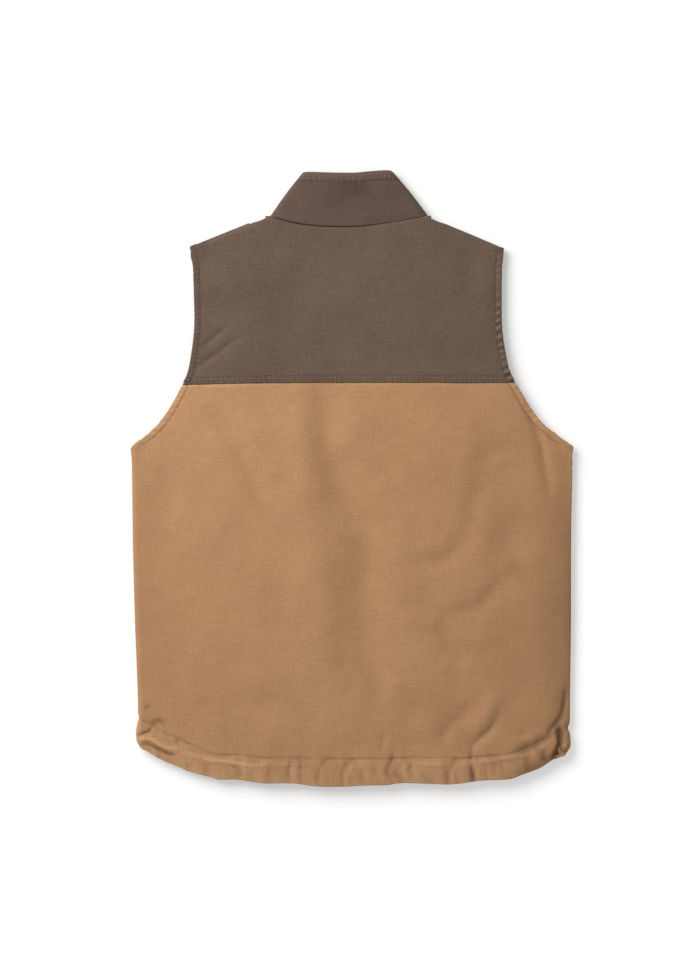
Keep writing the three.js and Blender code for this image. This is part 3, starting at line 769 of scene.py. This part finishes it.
def collar_band(around, v):
    """Dark stand collar: -1 and 1 are its front edges at the closure, 0 is the middle of the back."""
    x, y, below_top, above_seam = collar_spot(around, v)
    crown = fold_turn(x, y)
    edge_lap = mix(COLLAR_EDGE_LAP, 0, ease(0, 50, x))
    lap = mix(COLLAR_LAP, edge_lap, np.exp(-above_seam / 12))
    puff = COLLAR_PUFF * near(below_top - 5, width=4.5)
    washed = COLLAR_RUMPLE * canvas_rumple(x, y, seed=43)
    relief = crown * (lap + puff + collar_seams(x, below_top) + washed)
    seam = EDGE_ROLL + SEAM_SPLIT
    back_z = back_height(x, y) - seam * (1 - crown) + relief
    front_z = front_height(x, y) + seam * (1 - crown)
    return place(x, y, np.where(np.abs(around) <= 0.5, back_z, front_z))


def collar_light_shade_and_wear(around, v):
    """Painted light and shade of the collar, with its wear: painted light along its top strip, painted shade
    below that in the middle of the back, pale pucker crests and painted shade in its stitch line.
    """
    x, y, below_top, _ = collar_spot(around, v)
    # painted light on the strip above the stitch line, and painted shade below it in the middle of the back
    strip = COLLAR_STRIP_LIGHT * ease(COLLAR_STITCH + 1, COLLAR_STITCH - 1, below_top)
    top_shade = COLLAR_TOP_SHADE * near(x - 5, width=22, power=4) * near(y - 374, width=10, power=4)
    broad_shade = COLLAR_BROAD_SHADE * near(x + 8, width=36, power=4) * near(y - 364, width=17, power=4)
    return DARK_SEAM_WEAR_AND_SHADE * collar_seams(x, below_top) + strip - (top_shade + broad_shade)


def front_x(out, y, side):
    """Across one front, from the closure (0) to the side seam or armhole (1)."""
    level = np.minimum(y, SHOULDER_TIP_Y)
    reach = section(level, "half") - section(level, "inset") + side * section(level, "centre")
    return side * mix(ZIP_EDGE, reach, out)


def front_seams(from_zip, from_edge, line):
    """Stitch lines of a front, pressed up into the cloth, beside the closure and along its lower edge."""
    lines = np.maximum(near(from_zip - FRONT_STITCH, width=1.3), near(from_edge - line, width=1.3))
    return FRONT_GROOVE * lines


def front_panel(along, v, side):
    """Tan front, from the hem to the front yoke seam. along runs towards the left for either side."""
    out = (1 - side * along) / 2
    low = hem_y(side * out) + FRONT_HEM_LIFT * (1 - out ** FRONT_HEM_POWER) + EDGE_ROLL
    y = mix(low, FRONT_YOKE_SEAM_Y - SEAM_SPLIT, v)
    x = front_x(out, y, side)
    z = front_height(x, y) + front_seams(side * x - ZIP_EDGE, y - low, FRONT_HEM_STITCH)
    return place(x + side_swell(y, side * out), y, z)


def front_yoke(along, v, side):
    """Dark front yoke, from the front yoke seam to the neck and the shoulder."""
    out = (1 - side * along) / 2
    tip = SHOULDER_HALF - FRONT_TIP_STEP + side * UPPER_LEAN
    top_x = side * mix(ZIP_EDGE, tip, out)
    half = np.abs(top_x - UPPER_LEAN)
    top = np.where(half < NECK_HALF, front_neck_y(half) - SEAM_SPLIT, shoulder_y(half, side))
    low = FRONT_YOKE_SEAM_Y + SEAM_SPLIT
    y = mix(low, top, v)
    edge = np.minimum(np.abs(front_x(np.ones_like(y), y, side)), tip)
    x = top_x + side * (edge - tip) * out ** ARMHOLE_BEND
    return place(x, y, front_height(x, y) + front_seams(side * x - ZIP_EDGE, y - low, YOKE_STITCHES[0]))


PAST = 100
PROBE = 1e-4
ROLL_ARC = 3.2 * EDGE_ROLL


def unit(vectors):
    return vectors / np.maximum(np.linalg.norm(vectors, axis=-1, keepdims=True), 1e-12)


def frame_on(surface, u, v):
    """Point of a sheet, its two directions and its outward normal. u runs from -1 to 1 and v from 0 to 1."""
    u = np.clip(u, -1, 1)
    v = np.clip(v, 0, 1)
    across = unit(surface(np.minimum(u + PROBE, 1), v) - surface(np.maximum(u - PROBE, -1), v))
    up = unit(surface(u, np.minimum(v + PROBE, 1)) - surface(u, np.maximum(v - PROBE, 0)))
    return surface(u, v), across, up, unit(np.cross(across, up))


def turned_edges(surface, u, v):
    """Points of a sheet whose edges are turned under. Past an edge, one unit of u or v is PAST millimetres of
    cloth, which rolls round and then runs back inside, level with the outer layer."""
    edge_u = np.clip(u, -1, 1)
    edge_v = np.clip(v, 0, 1)
    one = np.ones_like(u)
    lengths = (np.linalg.norm(surface(one, edge_v) - surface(-one, edge_v), axis=-1) / 2,
               np.linalg.norm(surface(edge_u, one) - surface(edge_u, 0 * one), axis=-1))
    ends = (np.sign(u - edge_u), np.sign(v - edge_v))
    arcs = (np.abs(u - edge_u) * PAST, np.abs(v - edge_v) * PAST)
    backs = [np.maximum(arc - math.pi * EDGE_ROLL, 0) / length for arc, length in zip(arcs, lengths)]
    point, across, up, normal = frame_on(surface, edge_u - ends[0] * backs[0], edge_v - ends[1] * backs[1])
    for way, end, arc in zip((across, up), ends, arcs):
        turn = np.minimum(arc / EDGE_ROLL, math.pi)
        out = end * EDGE_ROLL * np.sin(turn)
        inward = EDGE_ROLL * (1 - np.cos(turn))
        point = point + way * out[..., None] - normal * inward[..., None]
    return point


def steps(low, high, count):
    return np.linspace(low, high, count + 1)


def join(*runs):
    return np.unique(np.round(np.concatenate(runs), 7))


def edge_steps(low, high, arc=TURN_UNDER + ROLL_ARC, count=9):
    """Extra columns or rows for the turned edges past low and high. None leaves an edge as it is."""
    past = np.concatenate([steps(0, ROLL_ARC, count - 2)[1:], [arc]]) / PAST
    below = [] if low is None else low - past
    above = [] if high is None else high + past
    return np.concatenate([below, above])


def side_steps(start, middle, outer):
    """Columns of a sheet with turned sides: middle is their number between -start and start, outer beyond."""
    right = steps(start, 1, outer)
    return join(steps(-start, start, middle), right, -right, edge_steps(-1, 1))


def linear(hex_colour):
    """Linear colour of an sRGB hex value."""
    values = [int(hex_colour[i:i + 2], 16) / 255 for i in (1, 3, 5)]
    return [v / 12.92 if v <= 0.04045 else ((v + 0.055) / 1.055) ** 2.4 for v in values] + [1]


def add_node(tree, kind, settings=None, values=None, links=None):
    """Adds a node with its settings, its input values and its links. Inputs go by name or by number."""
    node = tree.nodes.new(kind)
    for name, value in (settings or {}).items():
        setattr(node, name, value)
    for name, value in (values or {}).items():
        node.inputs[name].default_value = value
    for name, source in (links or {}).items():
        tree.links.new(source, node.inputs[name])
    return node


def new_material(name, roughness):
    material = bpy.data.materials.new(name)
    material.use_nodes = True
    tree = material.node_tree
    tree.nodes.clear()
    finish = {"Roughness": roughness, "Specular IOR Level": 0.25}
    shader = add_node(tree, "ShaderNodeBsdfPrincipled", values=finish)
    add_node(tree, "ShaderNodeOutputMaterial", links={"Surface": shader.outputs["BSDF"]})
    return material, tree, shader


# How uneven canvas is: the size of each kind of mark along the weft and along the warp in millimetres, how
# finely it breaks up, and its share in the tone and in the height of the cloth. The first two are slubs,
# threads that thicken for a while, then come patches of fading, then flecks. The flecks are coarser than the
# real threads, which are too fine to show in the render.
Mark = namedtuple("Mark", "weft_mm warp_mm detail tone height")
CANVAS_MARKS = [
    Mark(26, 2.4, 2, 0.22, 0.5),
    Mark(2.6, 13, 2, 0.18, 0.5),
    Mark(60, 60, 4, 0.26, 0),
    Mark(2.4, 2.4, 1, 0.34, 1),
]
CANVAS_THREAD_MM = 0.6
WEAVE_TONE = 0.02
WEAVE_HEIGHT = 0.12
TONE_SPAN = {"From Min": 0.36, "From Max": 0.64}
# Shares of the pale colour, for rubbed crests and edges and for painted light, and of the groove colour, for
# painted shade
RUBBED_AND_LIT_PALE = 1.1
SHADE_DARK = 0.45
BUMP_MM = 0.5
MULTIPLY = {"operation": "MULTIPLY"}
COLOURS = {"data_type": "RGBA"}


def canvas_material(name, body, deep, pale, groove):
    """Washed cotton canvas, plain woven. To the eye it is matt, a little furry, streaked along its threads
    where they thicken, unevenly faded, and paler where crests and edges rub. Light and shade are also painted
    into its colour: paler on the collar's top strip, darker in tucks, gathers, grooves and stitch lines,
    along the side seams and below the collar's top strip."""
    material, tree, shader = new_material(name, 0.93)
    shader.inputs["Sheen Weight"].default_value = 0.04
    shader.inputs["Sheen Roughness"].default_value = 0.6
    cloth = add_node(tree, "ShaderNodeUVMap", {"uv_map": "cloth"}).outputs["UV"]
    # the attribute holds wear and painted light and shade: above 0 paler, below 0 darker
    wear_light_and_shade = add_node(tree, "ShaderNodeAttribute", {"attribute_name": "wear_light_and_shade"}).outputs["Fac"]

    thread_scale = 1 / (CANVAS_THREAD_MM * MM)
    threads = add_node(tree, "ShaderNodeMapping", values={"Scale": [math.pi * thread_scale] * 3},
                       links={"Vector": cloth}).outputs["Vector"]
    threads = add_node(tree, "ShaderNodeSeparateXYZ", links={"Vector": threads}).outputs
    over = add_node(tree, "ShaderNodeMath", {"operation": "SINE"}, links={0: threads["X"]}).outputs[0]
    under = add_node(tree, "ShaderNodeMath", {"operation": "SINE"}, links={0: threads["Y"]}).outputs[0]
    weave = add_node(tree, "ShaderNodeMath", MULTIPLY, links={0: over, 1: under}).outputs[0]
    height = add_node(tree, "ShaderNodeMath", MULTIPLY, {1: WEAVE_HEIGHT}, {0: weave}).outputs[0]
    tone = add_node(tree, "ShaderNodeMath", MULTIPLY, {1: WEAVE_TONE}, {0: weave}).outputs[0]
    for mark in CANVAS_MARKS:
        scale = (1 / (mark.weft_mm * MM), 1 / (mark.warp_mm * MM), 1)
        spread = add_node(tree, "ShaderNodeMapping", values={"Scale": scale}, links={"Vector": cloth})
        noise = add_node(tree, "ShaderNodeTexNoise", {"noise_dimensions": "2D"},
                         {"Scale": 1, "Detail": mark.detail, "Roughness": 0.55},
                         {"Vector": spread.outputs["Vector"]})
        fleck = noise.outputs["Fac"]
        tone = add_node(tree, "ShaderNodeMath", {"operation": "MULTIPLY_ADD"}, {1: mark.tone},
                        {0: fleck, 2: tone}).outputs[0]
        height = add_node(tree, "ShaderNodeMath", {"operation": "MULTIPLY_ADD"}, {1: mark.height},
                          {0: fleck, 2: height}).outputs[0]

    tone = add_node(tree, "ShaderNodeMapRange", values=TONE_SPAN, links={"Value": tone})
    colour = add_node(tree, "ShaderNodeMix", COLOURS, {6: linear(deep), 7: linear(body)},
                      {0: tone.outputs[0]}).outputs[2]
    # pale colour above 0: rubbed crests and edges, and painted light on the collar's top strip
    paled = add_node(tree, "ShaderNodeMath", MULTIPLY, links={0: wear_light_and_shade, 1: fleck}).outputs[0]
    clamped = {**MULTIPLY, "use_clamp": True}
    paled = add_node(tree, "ShaderNodeMath", clamped, {1: RUBBED_AND_LIT_PALE}, {0: paled})
    colour = add_node(tree, "ShaderNodeMix", COLOURS, {7: linear(pale)},
                      {0: paled.outputs[0], 6: colour}).outputs[2]
    # groove colour below 0: painted shade in tucks, gathers, grooves and stitch lines and along the side
    # seams
    shaded = add_node(tree, "ShaderNodeMath", clamped, {1: -SHADE_DARK}, {0: wear_light_and_shade})
    colour = add_node(tree, "ShaderNodeMix", COLOURS, {7: linear(groove)},
                      {0: shaded.outputs[0], 6: colour}).outputs[2]
    tree.links.new(colour, shader.inputs["Base Color"])
    bump = add_node(tree, "ShaderNodeBump", values={"Strength": 0.35, "Distance": BUMP_MM * MM},
                    links={"Height": height})
    tree.links.new(bump.outputs["Normal"], shader.inputs["Normal"])
    return material


def thread_material(name, body, deep):
    """Spun cotton sewing thread: matt, with a slight change of tone from stitch to stitch."""
    stitch_mm = 6
    material, tree, shader = new_material(name, 0.8)
    spot = add_node(tree, "ShaderNodeTexCoord").outputs["Object"]
    tone = add_node(tree, "ShaderNodeTexNoise", values={"Scale": 1 / (stitch_mm * MM), "Detail": 2},
                    links={"Vector": spot}).outputs["Fac"]
    colour = add_node(tree, "ShaderNodeMix", COLOURS, {6: linear(deep), 7: linear(body)}, {0: tone})
    tree.links.new(colour.outputs[2], shader.inputs["Base Color"])
    return material


def zip_material(name, body, deep):
    """Woven polyester tape and moulded nylon coil: dark, matt, with a fine rib across its length."""
    rib_mm = 1.2
    # a wave texture turns through this angle in a unit of its scale, and a rib is one whole turn
    wave_radians = 20
    material, tree, shader = new_material(name, 0.6)
    spot = add_node(tree, "ShaderNodeTexCoord").outputs["Object"]
    rib = add_node(tree, "ShaderNodeTexWave", {"bands_direction": "Y"},
                   {"Scale": 2 * math.pi / wave_radians / (rib_mm * MM), "Distortion": 0.2},
                   {"Vector": spot}).outputs["Fac"]
    colour = add_node(tree, "ShaderNodeMix", COLOURS, {6: linear(deep), 7: linear(body)}, {0: rib})
    tree.links.new(colour.outputs[2], shader.inputs["Base Color"])
    return material


# The last colour of each canvas is painted shade for tucks, grooves and stitch lines; the one before is for
# rubbed crests and edges and for painted light
tan_canvas = canvas_material("washed_tan_canvas", "#AD855C", "#9F7554", "#C29C74", "#6A4B34")
dark_canvas = canvas_material("washed_dark_brown_canvas", "#635346", "#564439", "#7C6A58", "#342923")
collar_canvas = canvas_material("washed_dark_brown_collar_canvas", "#5D4B41", "#4E3E38", "#796759", "#322723")
tan_thread = thread_material("tan_cotton_thread", "#B68F68", "#9C7656")
dark_thread = thread_material("brown_cotton_thread", "#6E5C4D", "#584A3E")
zip_brown = zip_material("brown_coil_zip", "#4E4037", "#3A2F28")


def add_object(name, data):
    thing = bpy.data.objects.new(name, data)
    bpy.context.scene.collection.objects.link(thing)
    return thing


def mesh_of(shape, name):
    """Mesh of a finished shape, which is then freed."""
    mesh = bpy.data.meshes.new(name)
    shape.to_mesh(mesh)
    shape.free()
    return mesh


def smooth(mesh):
    mesh.polygons.foreach_set("use_smooth", np.ones(len(mesh.polygons), bool))


def add_piece(name, mesh, material):
    """Puts a mesh into the scene as a piece of the vest."""
    mesh.materials.append(material)
    piece = add_object(name, mesh)
    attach(piece, "root")
    return piece


def cloth_piece(name, surface, columns, rows, material, wear_light_and_shade, node):
    """A sheet of canvas on a surface, with turned edges, thickness, its own flat map, and its wear with its
    painted light and shade.
    """
    shape = bmesh.new()
    bmesh.ops.create_grid(shape, x_segments=len(columns) - 1, y_segments=len(rows) - 1, size=1)
    mesh = mesh_of(shape, name)
    flat = np.empty(len(mesh.vertices) * 3)
    mesh.vertices.foreach_get("co", flat)
    flat = flat.reshape(-1, 3)[:, :2]
    share = (flat - flat.min(0)) / np.ptp(flat, axis=0)
    u = columns[np.round(share[:, 0] * (len(columns) - 1)).astype(int)]
    v = rows[np.round(share[:, 1] * (len(rows) - 1)).astype(int)]
    edge_u = np.clip(u, -1, 1)
    edge_v = np.clip(v, 0, 1)
    mesh.vertices.foreach_set("co", (turned_edges(surface, u, v) * MM).ravel())
    base = surface(edge_u, edge_v)
    cut_x = base[:, 0] + PAST * (u - edge_u)
    cut_y = base[:, 1] + PAST * (v - edge_v)
    # the flat map is in metres, with the middle of the vest at the middle of its unit square
    cut = 0.5 + MM * np.stack([cut_x, cut_y], axis=-1)
    corner = np.empty(len(mesh.loops), int)
    mesh.loops.foreach_get("vertex_index", corner)
    mesh.uv_layers.new(name="cloth").data.foreach_set("uv", cut[corner].ravel())
    # wear together with painted light and shade, for the canvas shader
    wear_and_shade_values = np.clip(wear_light_and_shade(edge_u, edge_v), *WEAR_AND_SHADE_RANGE)
    mesh.attributes.new("wear_light_and_shade", "FLOAT", "POINT").data.foreach_set("value", wear_and_shade_values)
    smooth(mesh)
    mesh.update()
    piece = add_piece(name, mesh, material)
    wall = piece.modifiers.new("canvas thickness", "SOLIDIFY")
    wall.thickness = CANVAS * MM
    wall.offset = -1
    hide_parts(node)
    return piece


def front_wear(along, v):
    """Wear of a front: pale along its lower edge and its sides."""
    return FRONT_EDGE_WEAR * np.maximum(near(1 - np.abs(along), width=0.012), near(v, width=0.008))


panel_columns = side_steps(0.94, 292, 15)
panel_rows = join(steps(0, 0.075, 26), steps(0.075, 0.135, 14), steps(0.135, 0.78, 46),
                  steps(0.78, 0.825, 12), steps(0.825, 0.955, 24), steps(0.955, 1, 9),
                  edge_steps(0, None, HEM_TURN_UP, 10))
panel_piece = cloth_piece(
    "back_panel_canvas", back_panel, panel_columns, panel_rows, tan_canvas, panel_wear_and_shade,
    "back_panel")

neck_share = NECK_HALF / SHOULDER_HALF
yoke_columns = join(side_steps(0.95, 200, 13), [-neck_share, neck_share])
yoke_rows = join(steps(0, 0.1, 16), steps(0.1, 0.86, 70), 1 - 0.14 * steps(1, 0, 20) ** 2, edge_steps(0, 1))
yoke_piece = cloth_piece(
    "back_yoke_canvas", back_yoke, yoke_columns, yoke_rows, dark_canvas, yoke_wear_and_shade,
    "back_yoke")

collar_turns = steps(0, math.pi / 2, 24)
collar_back = np.concatenate([steps(0, 0.4, 60), mix(0.4, 0.5, np.sin(collar_turns))])
collar_front = mix(0.5, 1, 1 - np.cos(steps(0, math.pi / 2, 40)))
collar_columns = join(-collar_front, -collar_back, collar_back, collar_front, edge_steps(-1, 1))
collar_rows = join(steps(0, 0.7, 24), steps(0.7, 1, 24), edge_steps(0, 1, 30, 12))
collar_piece = cloth_piece(
    "collar_canvas", collar_band, collar_columns, collar_rows, collar_canvas, collar_light_shade_and_wear,
    "collar")

front_surfaces = {}
front_columns = side_steps(0.9, 60, 14)
front_rows = join(steps(0, 1, 100), steps(0.03, 0.055, 12), edge_steps(0, 1))
front_yoke_columns = join(steps(-1, 1, 84), steps(0.9, 1, 10), steps(-1, -0.9, 10), edge_steps(-1, 1))
front_yoke_rows = join(steps(0, 0.06, 8), steps(0.06, 0.86, 32), 1 - 0.14 * steps(1, 0, 14) ** 2,
                       edge_steps(0, 1))
for name, side in (("left", -1), ("right", 1)):
    panel, yoke = f"front_panel_{name}", f"front_yoke_{name}"
    front_surfaces[panel] = lambda u, v, side=side: front_panel(u, v, side)
    front_surfaces[yoke] = lambda u, v, side=side: front_yoke(u, v, side)
    cloth_piece(
        f"{panel}_canvas", front_surfaces[panel], front_columns, front_rows, tan_canvas, front_wear,
        panel)
    cloth_piece(
        f"{yoke}_canvas", front_surfaces[yoke], front_yoke_columns, front_yoke_rows, dark_canvas, front_wear,
        yoke)


def stitch_row(name, surface, u, v, material, slot):
    """A row of stitches along a line on a sheet: one small rounded thread for each stitch."""
    line, _, _, normal = frame_on(surface, u, v)
    run = np.concatenate([[0], np.cumsum(np.linalg.norm(np.diff(line, axis=0), axis=1))])
    centres = np.arange(STITCH_PITCH, run[-1] - STITCH_PITCH / 2, STITCH_PITCH)

    def at(values, where):
        return np.stack([np.interp(where, run, values[:, axis]) for axis in range(3)], axis=-1)

    starts = at(line, centres - STITCH_LENGTH / 2)
    ends = at(line, centres + STITCH_LENGTH / 2)
    normals = unit(at(normal, centres))
    size = Matrix.Diagonal((STITCH_LENGTH / 2 * MM, THREAD / 2 * MM, THREAD / 2 * MM, 1))
    shape = bmesh.new()
    for start, end, up in zip(starts, ends, normals):
        way = Vector(end - start).normalized()
        over = Vector(up).cross(way).normalized()
        turn = Matrix((way, over, way.cross(over))).transposed().to_4x4()
        spot = Matrix.Translation(Vector((start + end) / 2) * MM) @ turn
        bmesh.ops.create_uvsphere(shape, u_segments=6, v_segments=4, radius=1, matrix=spot @ size)
    mesh = mesh_of(shape, name)
    smooth(mesh)
    return add_piece(name, mesh, material)


def panel_v(across, y):
    low = hem_y(across) + EDGE_ROLL
    return (y - low) / (YOKE_SEAM_Y + UNDERLAP - low)


def yoke_v(across, y):
    low = yoke_seam_y(across) + EDGE_ROLL
    return (y - low) / (yoke_top_y(across) - low)


def armhole_line(side, low, high):
    """Stitch line of one armhole for heights from low to high: its place across the vest, and its height."""
    y = steps(low, high, 700)
    inward = ARMHOLE_STITCH / armhole_inward(0 * y, y)
    return side * (1 - inward), y


tan_stitch = (tan_thread, "tan_canvas")
dark_stitch = (dark_thread, "dark_canvas")
line = steps(-0.985, 0.985, 900)
hem_line = hem_y(line) + EDGE_ROLL + hem_band(line)
stitch_row("hem_stitches", back_panel, line, panel_v(line, hem_line), *tan_stitch)
for number, above in enumerate(YOKE_STITCHES, 1):
    seam_line = yoke_seam_y(line) + above
    stitch_row(f"yoke_stitches_{number}", back_yoke, line, yoke_v(line, seam_line), *dark_stitch)
for name, side in (("left", -1), ("right", 1)):
    across, y = armhole_line(side, ARMPIT_Y + 12, YOKE_SEAM_Y - 1)
    stitch_row(f"armhole_stitches_low_{name}", back_panel, across, panel_v(across, y), *tan_stitch)
    across, y = armhole_line(side, YOKE_SEAM_Y + 2, SHOULDER_TIP_Y - 8)
    stitch_row(f"armhole_stitches_high_{name}", back_yoke, across, yoke_v(across, y), *dark_stitch)

    panel = front_surfaces[f"front_panel_{name}"]
    yoke = front_surfaces[f"front_yoke_{name}"]
    up = steps(0.02, 0.98, 300)
    panel_out = FRONT_STITCH / (np.abs(front_x(1, mix(hem_y(0), FRONT_YOKE_SEAM_Y, up), side)) - ZIP_EDGE)
    yoke_out = FRONT_STITCH / (SHOULDER_HALF - FRONT_TIP_STEP + side * UPPER_LEAN - ZIP_EDGE)
    panel_tall = FRONT_YOKE_SEAM_Y - SEAM_SPLIT - hem_y((side - line) / 2) - FRONT_HEM_LIFT - EDGE_ROLL
    stitch_row(f"zip_edge_stitches_low_{name}", panel, side * (1 - 2 * panel_out), up, *tan_stitch)
    stitch_row(f"zip_edge_stitches_high_{name}", yoke, side * (1 - 2 * yoke_out) + 0 * up, up, *dark_stitch)
    stitch_row(f"front_hem_stitches_{name}", panel, 0.9 * line, FRONT_HEM_STITCH / panel_tall, *tan_stitch)

collar_line = steps(-0.49, 0.49, 500)
collar_height = COLLAR_TOP_Y - back_neck_y(NECK_HALF * 2 * collar_line) - 2 * EDGE_ROLL
stitch_row("collar_top_stitches", collar_band, collar_line, 1 - (COLLAR_STITCH - EDGE_ROLL) / collar_height,
           *dark_stitch)
stitch_row("collar_seam_stitches", collar_band, collar_line, NECK_STITCH / collar_height, *dark_stitch)

# Coil zip: two woven tapes with a moulded coil between them, hidden under the vest
ZIP_LOW_Y = -384.5
ZIP_HIGH_Y = 304.2
TAPE = Vector((6.1, ZIP_HIGH_Y - ZIP_LOW_Y, 0.9))
TAPE_X = 4.9
TAPE_Z = 1.6
COIL_TURN = Vector((2.9, 0.95, 0.62))
COIL_PITCH = 2.5
COIL_LEAN = 18
COIL_STEP = 0.25
COIL_Z = 0.85
zip_shape = bmesh.new()
for side in (-1, 1):
    centre = Vector((side * TAPE_X, (ZIP_LOW_Y + ZIP_HIGH_Y) / 2, TAPE_Z)) * MM
    size = Matrix.Diagonal((*(TAPE * MM), 1))
    bmesh.ops.create_cube(zip_shape, size=1, matrix=Matrix.Translation(centre) @ size)
for number, y in enumerate(np.arange(ZIP_LOW_Y + 2, ZIP_HIGH_Y - 2, COIL_PITCH)):
    side = 1 if number % 2 else -1
    centre = Vector((side * COIL_STEP, y, COIL_Z)) * MM
    lean = Matrix.Rotation(math.radians(side * COIL_LEAN), 4, "Z")
    size = Matrix.Diagonal((*(COIL_TURN * MM), 1))
    bmesh.ops.create_uvsphere(
        zip_shape, u_segments=8, v_segments=4, radius=1, matrix=Matrix.Translation(centre) @ lean @ size)
zip_piece = add_piece("front_zip_coil", mesh_of(zip_shape, "front_zip_coil"), zip_brown)
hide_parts("front_zip")

# Floor: plain white studio paper just under the vest. It is lit from behind, more where the lamp reaches it
# less and most of all far off, so that it stays white round the vest's soft shadow. Its places are in metres.
FLOOR_HALF = 12
FLOOR_Z = -0.3
GLOW_NEAR_LAMP = 0.14
GLOW_FAR_FROM_LAMP = 0.56
GLOW_FAR_OFF = 1.2
AWAY_FROM_LAMP = (0.76, -0.65, 0)
GLOW_REACH = 0.8
FAR_OFF_START = 0.45
FAR_OFF_END = 3
paper, paper_tree, paper_shader = new_material("white_studio_paper", 0.9)
paper_shader.inputs["Base Color"].default_value = linear("#CCCCCB")
paper_shader.inputs["Emission Color"].default_value = (1, 1, 1, 1)
spot = add_node(paper_tree, "ShaderNodeTexCoord").outputs["Object"]
away = add_node(paper_tree, "ShaderNodeVectorMath", {"operation": "DOT_PRODUCT"}, {1: AWAY_FROM_LAMP},
                {0: spot})
glow = add_node(paper_tree, "ShaderNodeMapRange",
                values={"From Min": -GLOW_REACH, "From Max": GLOW_REACH,
                        "To Min": GLOW_NEAR_LAMP, "To Max": GLOW_FAR_FROM_LAMP},
                links={"Value": away.outputs["Value"]})
distance = add_node(paper_tree, "ShaderNodeVectorMath", {"operation": "LENGTH"}, links={0: spot})
far_off = add_node(paper_tree, "ShaderNodeMapRange",
                   values={"From Min": FAR_OFF_START, "From Max": FAR_OFF_END,
                           "To Min": 0, "To Max": GLOW_FAR_OFF},
                   links={"Value": distance.outputs["Value"]})
glow = add_node(paper_tree, "ShaderNodeMath", {"operation": "ADD"},
                links={0: glow.outputs["Result"], 1: far_off.outputs["Result"]})
paper_tree.links.new(glow.outputs[0], paper_shader.inputs["Emission Strength"])
floor_shape = bmesh.new()
floor_level = Matrix.Translation((0, 0, FLOOR_Z * MM))
bmesh.ops.create_grid(floor_shape, x_segments=1, y_segments=1, size=FLOOR_HALF, matrix=floor_level)
floor = add_object("floor", mesh_of(floor_shape, "floor"))
floor.data.materials.append(paper)

# Light: a large soft lamp from the upper left, and even light from all round
KEY_PLACE = Vector((-1.72, 1.47, 1.97))
KEY_SIZE = 2.3
KEY_WATTS = 119
ROUND_LIGHT = 0.36
key_data = bpy.data.lights.new("key", "AREA")
key_data.shape = "DISK"
key_data.size = KEY_SIZE
key_data.energy = KEY_WATTS
key = add_object("key", key_data)
key.location = KEY_PLACE
key.rotation_euler = (-KEY_PLACE).to_track_quat("-Z", "Y").to_euler()

world = bpy.data.worlds.new("studio")
world.use_nodes = True
world.node_tree.nodes["Background"].inputs["Color"].default_value = (1, 1, 1, 1)
world.node_tree.nodes["Background"].inputs["Strength"].default_value = ROUND_LIGHT
bpy.context.scene.world = world
bpy.context.scene.view_settings.view_transform = "Standard"

# Camera: straight above, the photograph's frame, 700 by 970 pixels at 1.287 mm a pixel
PIXEL = 1.287
FRAME_TALL = 970 * PIXEL
LENS = 120
SENSOR = 36
VIEW_CENTRE = (-1.9, -7.7)
VIEW_LEVEL = 10
camera_data = bpy.data.cameras.new("camera")
camera_data.lens = LENS
camera_data.sensor_width = SENSOR
camera = add_object("camera", camera_data)
camera.location = Vector((*VIEW_CENTRE, VIEW_LEVEL + FRAME_TALL * LENS / SENSOR)) * MM
bpy.context.scene.camera = camera
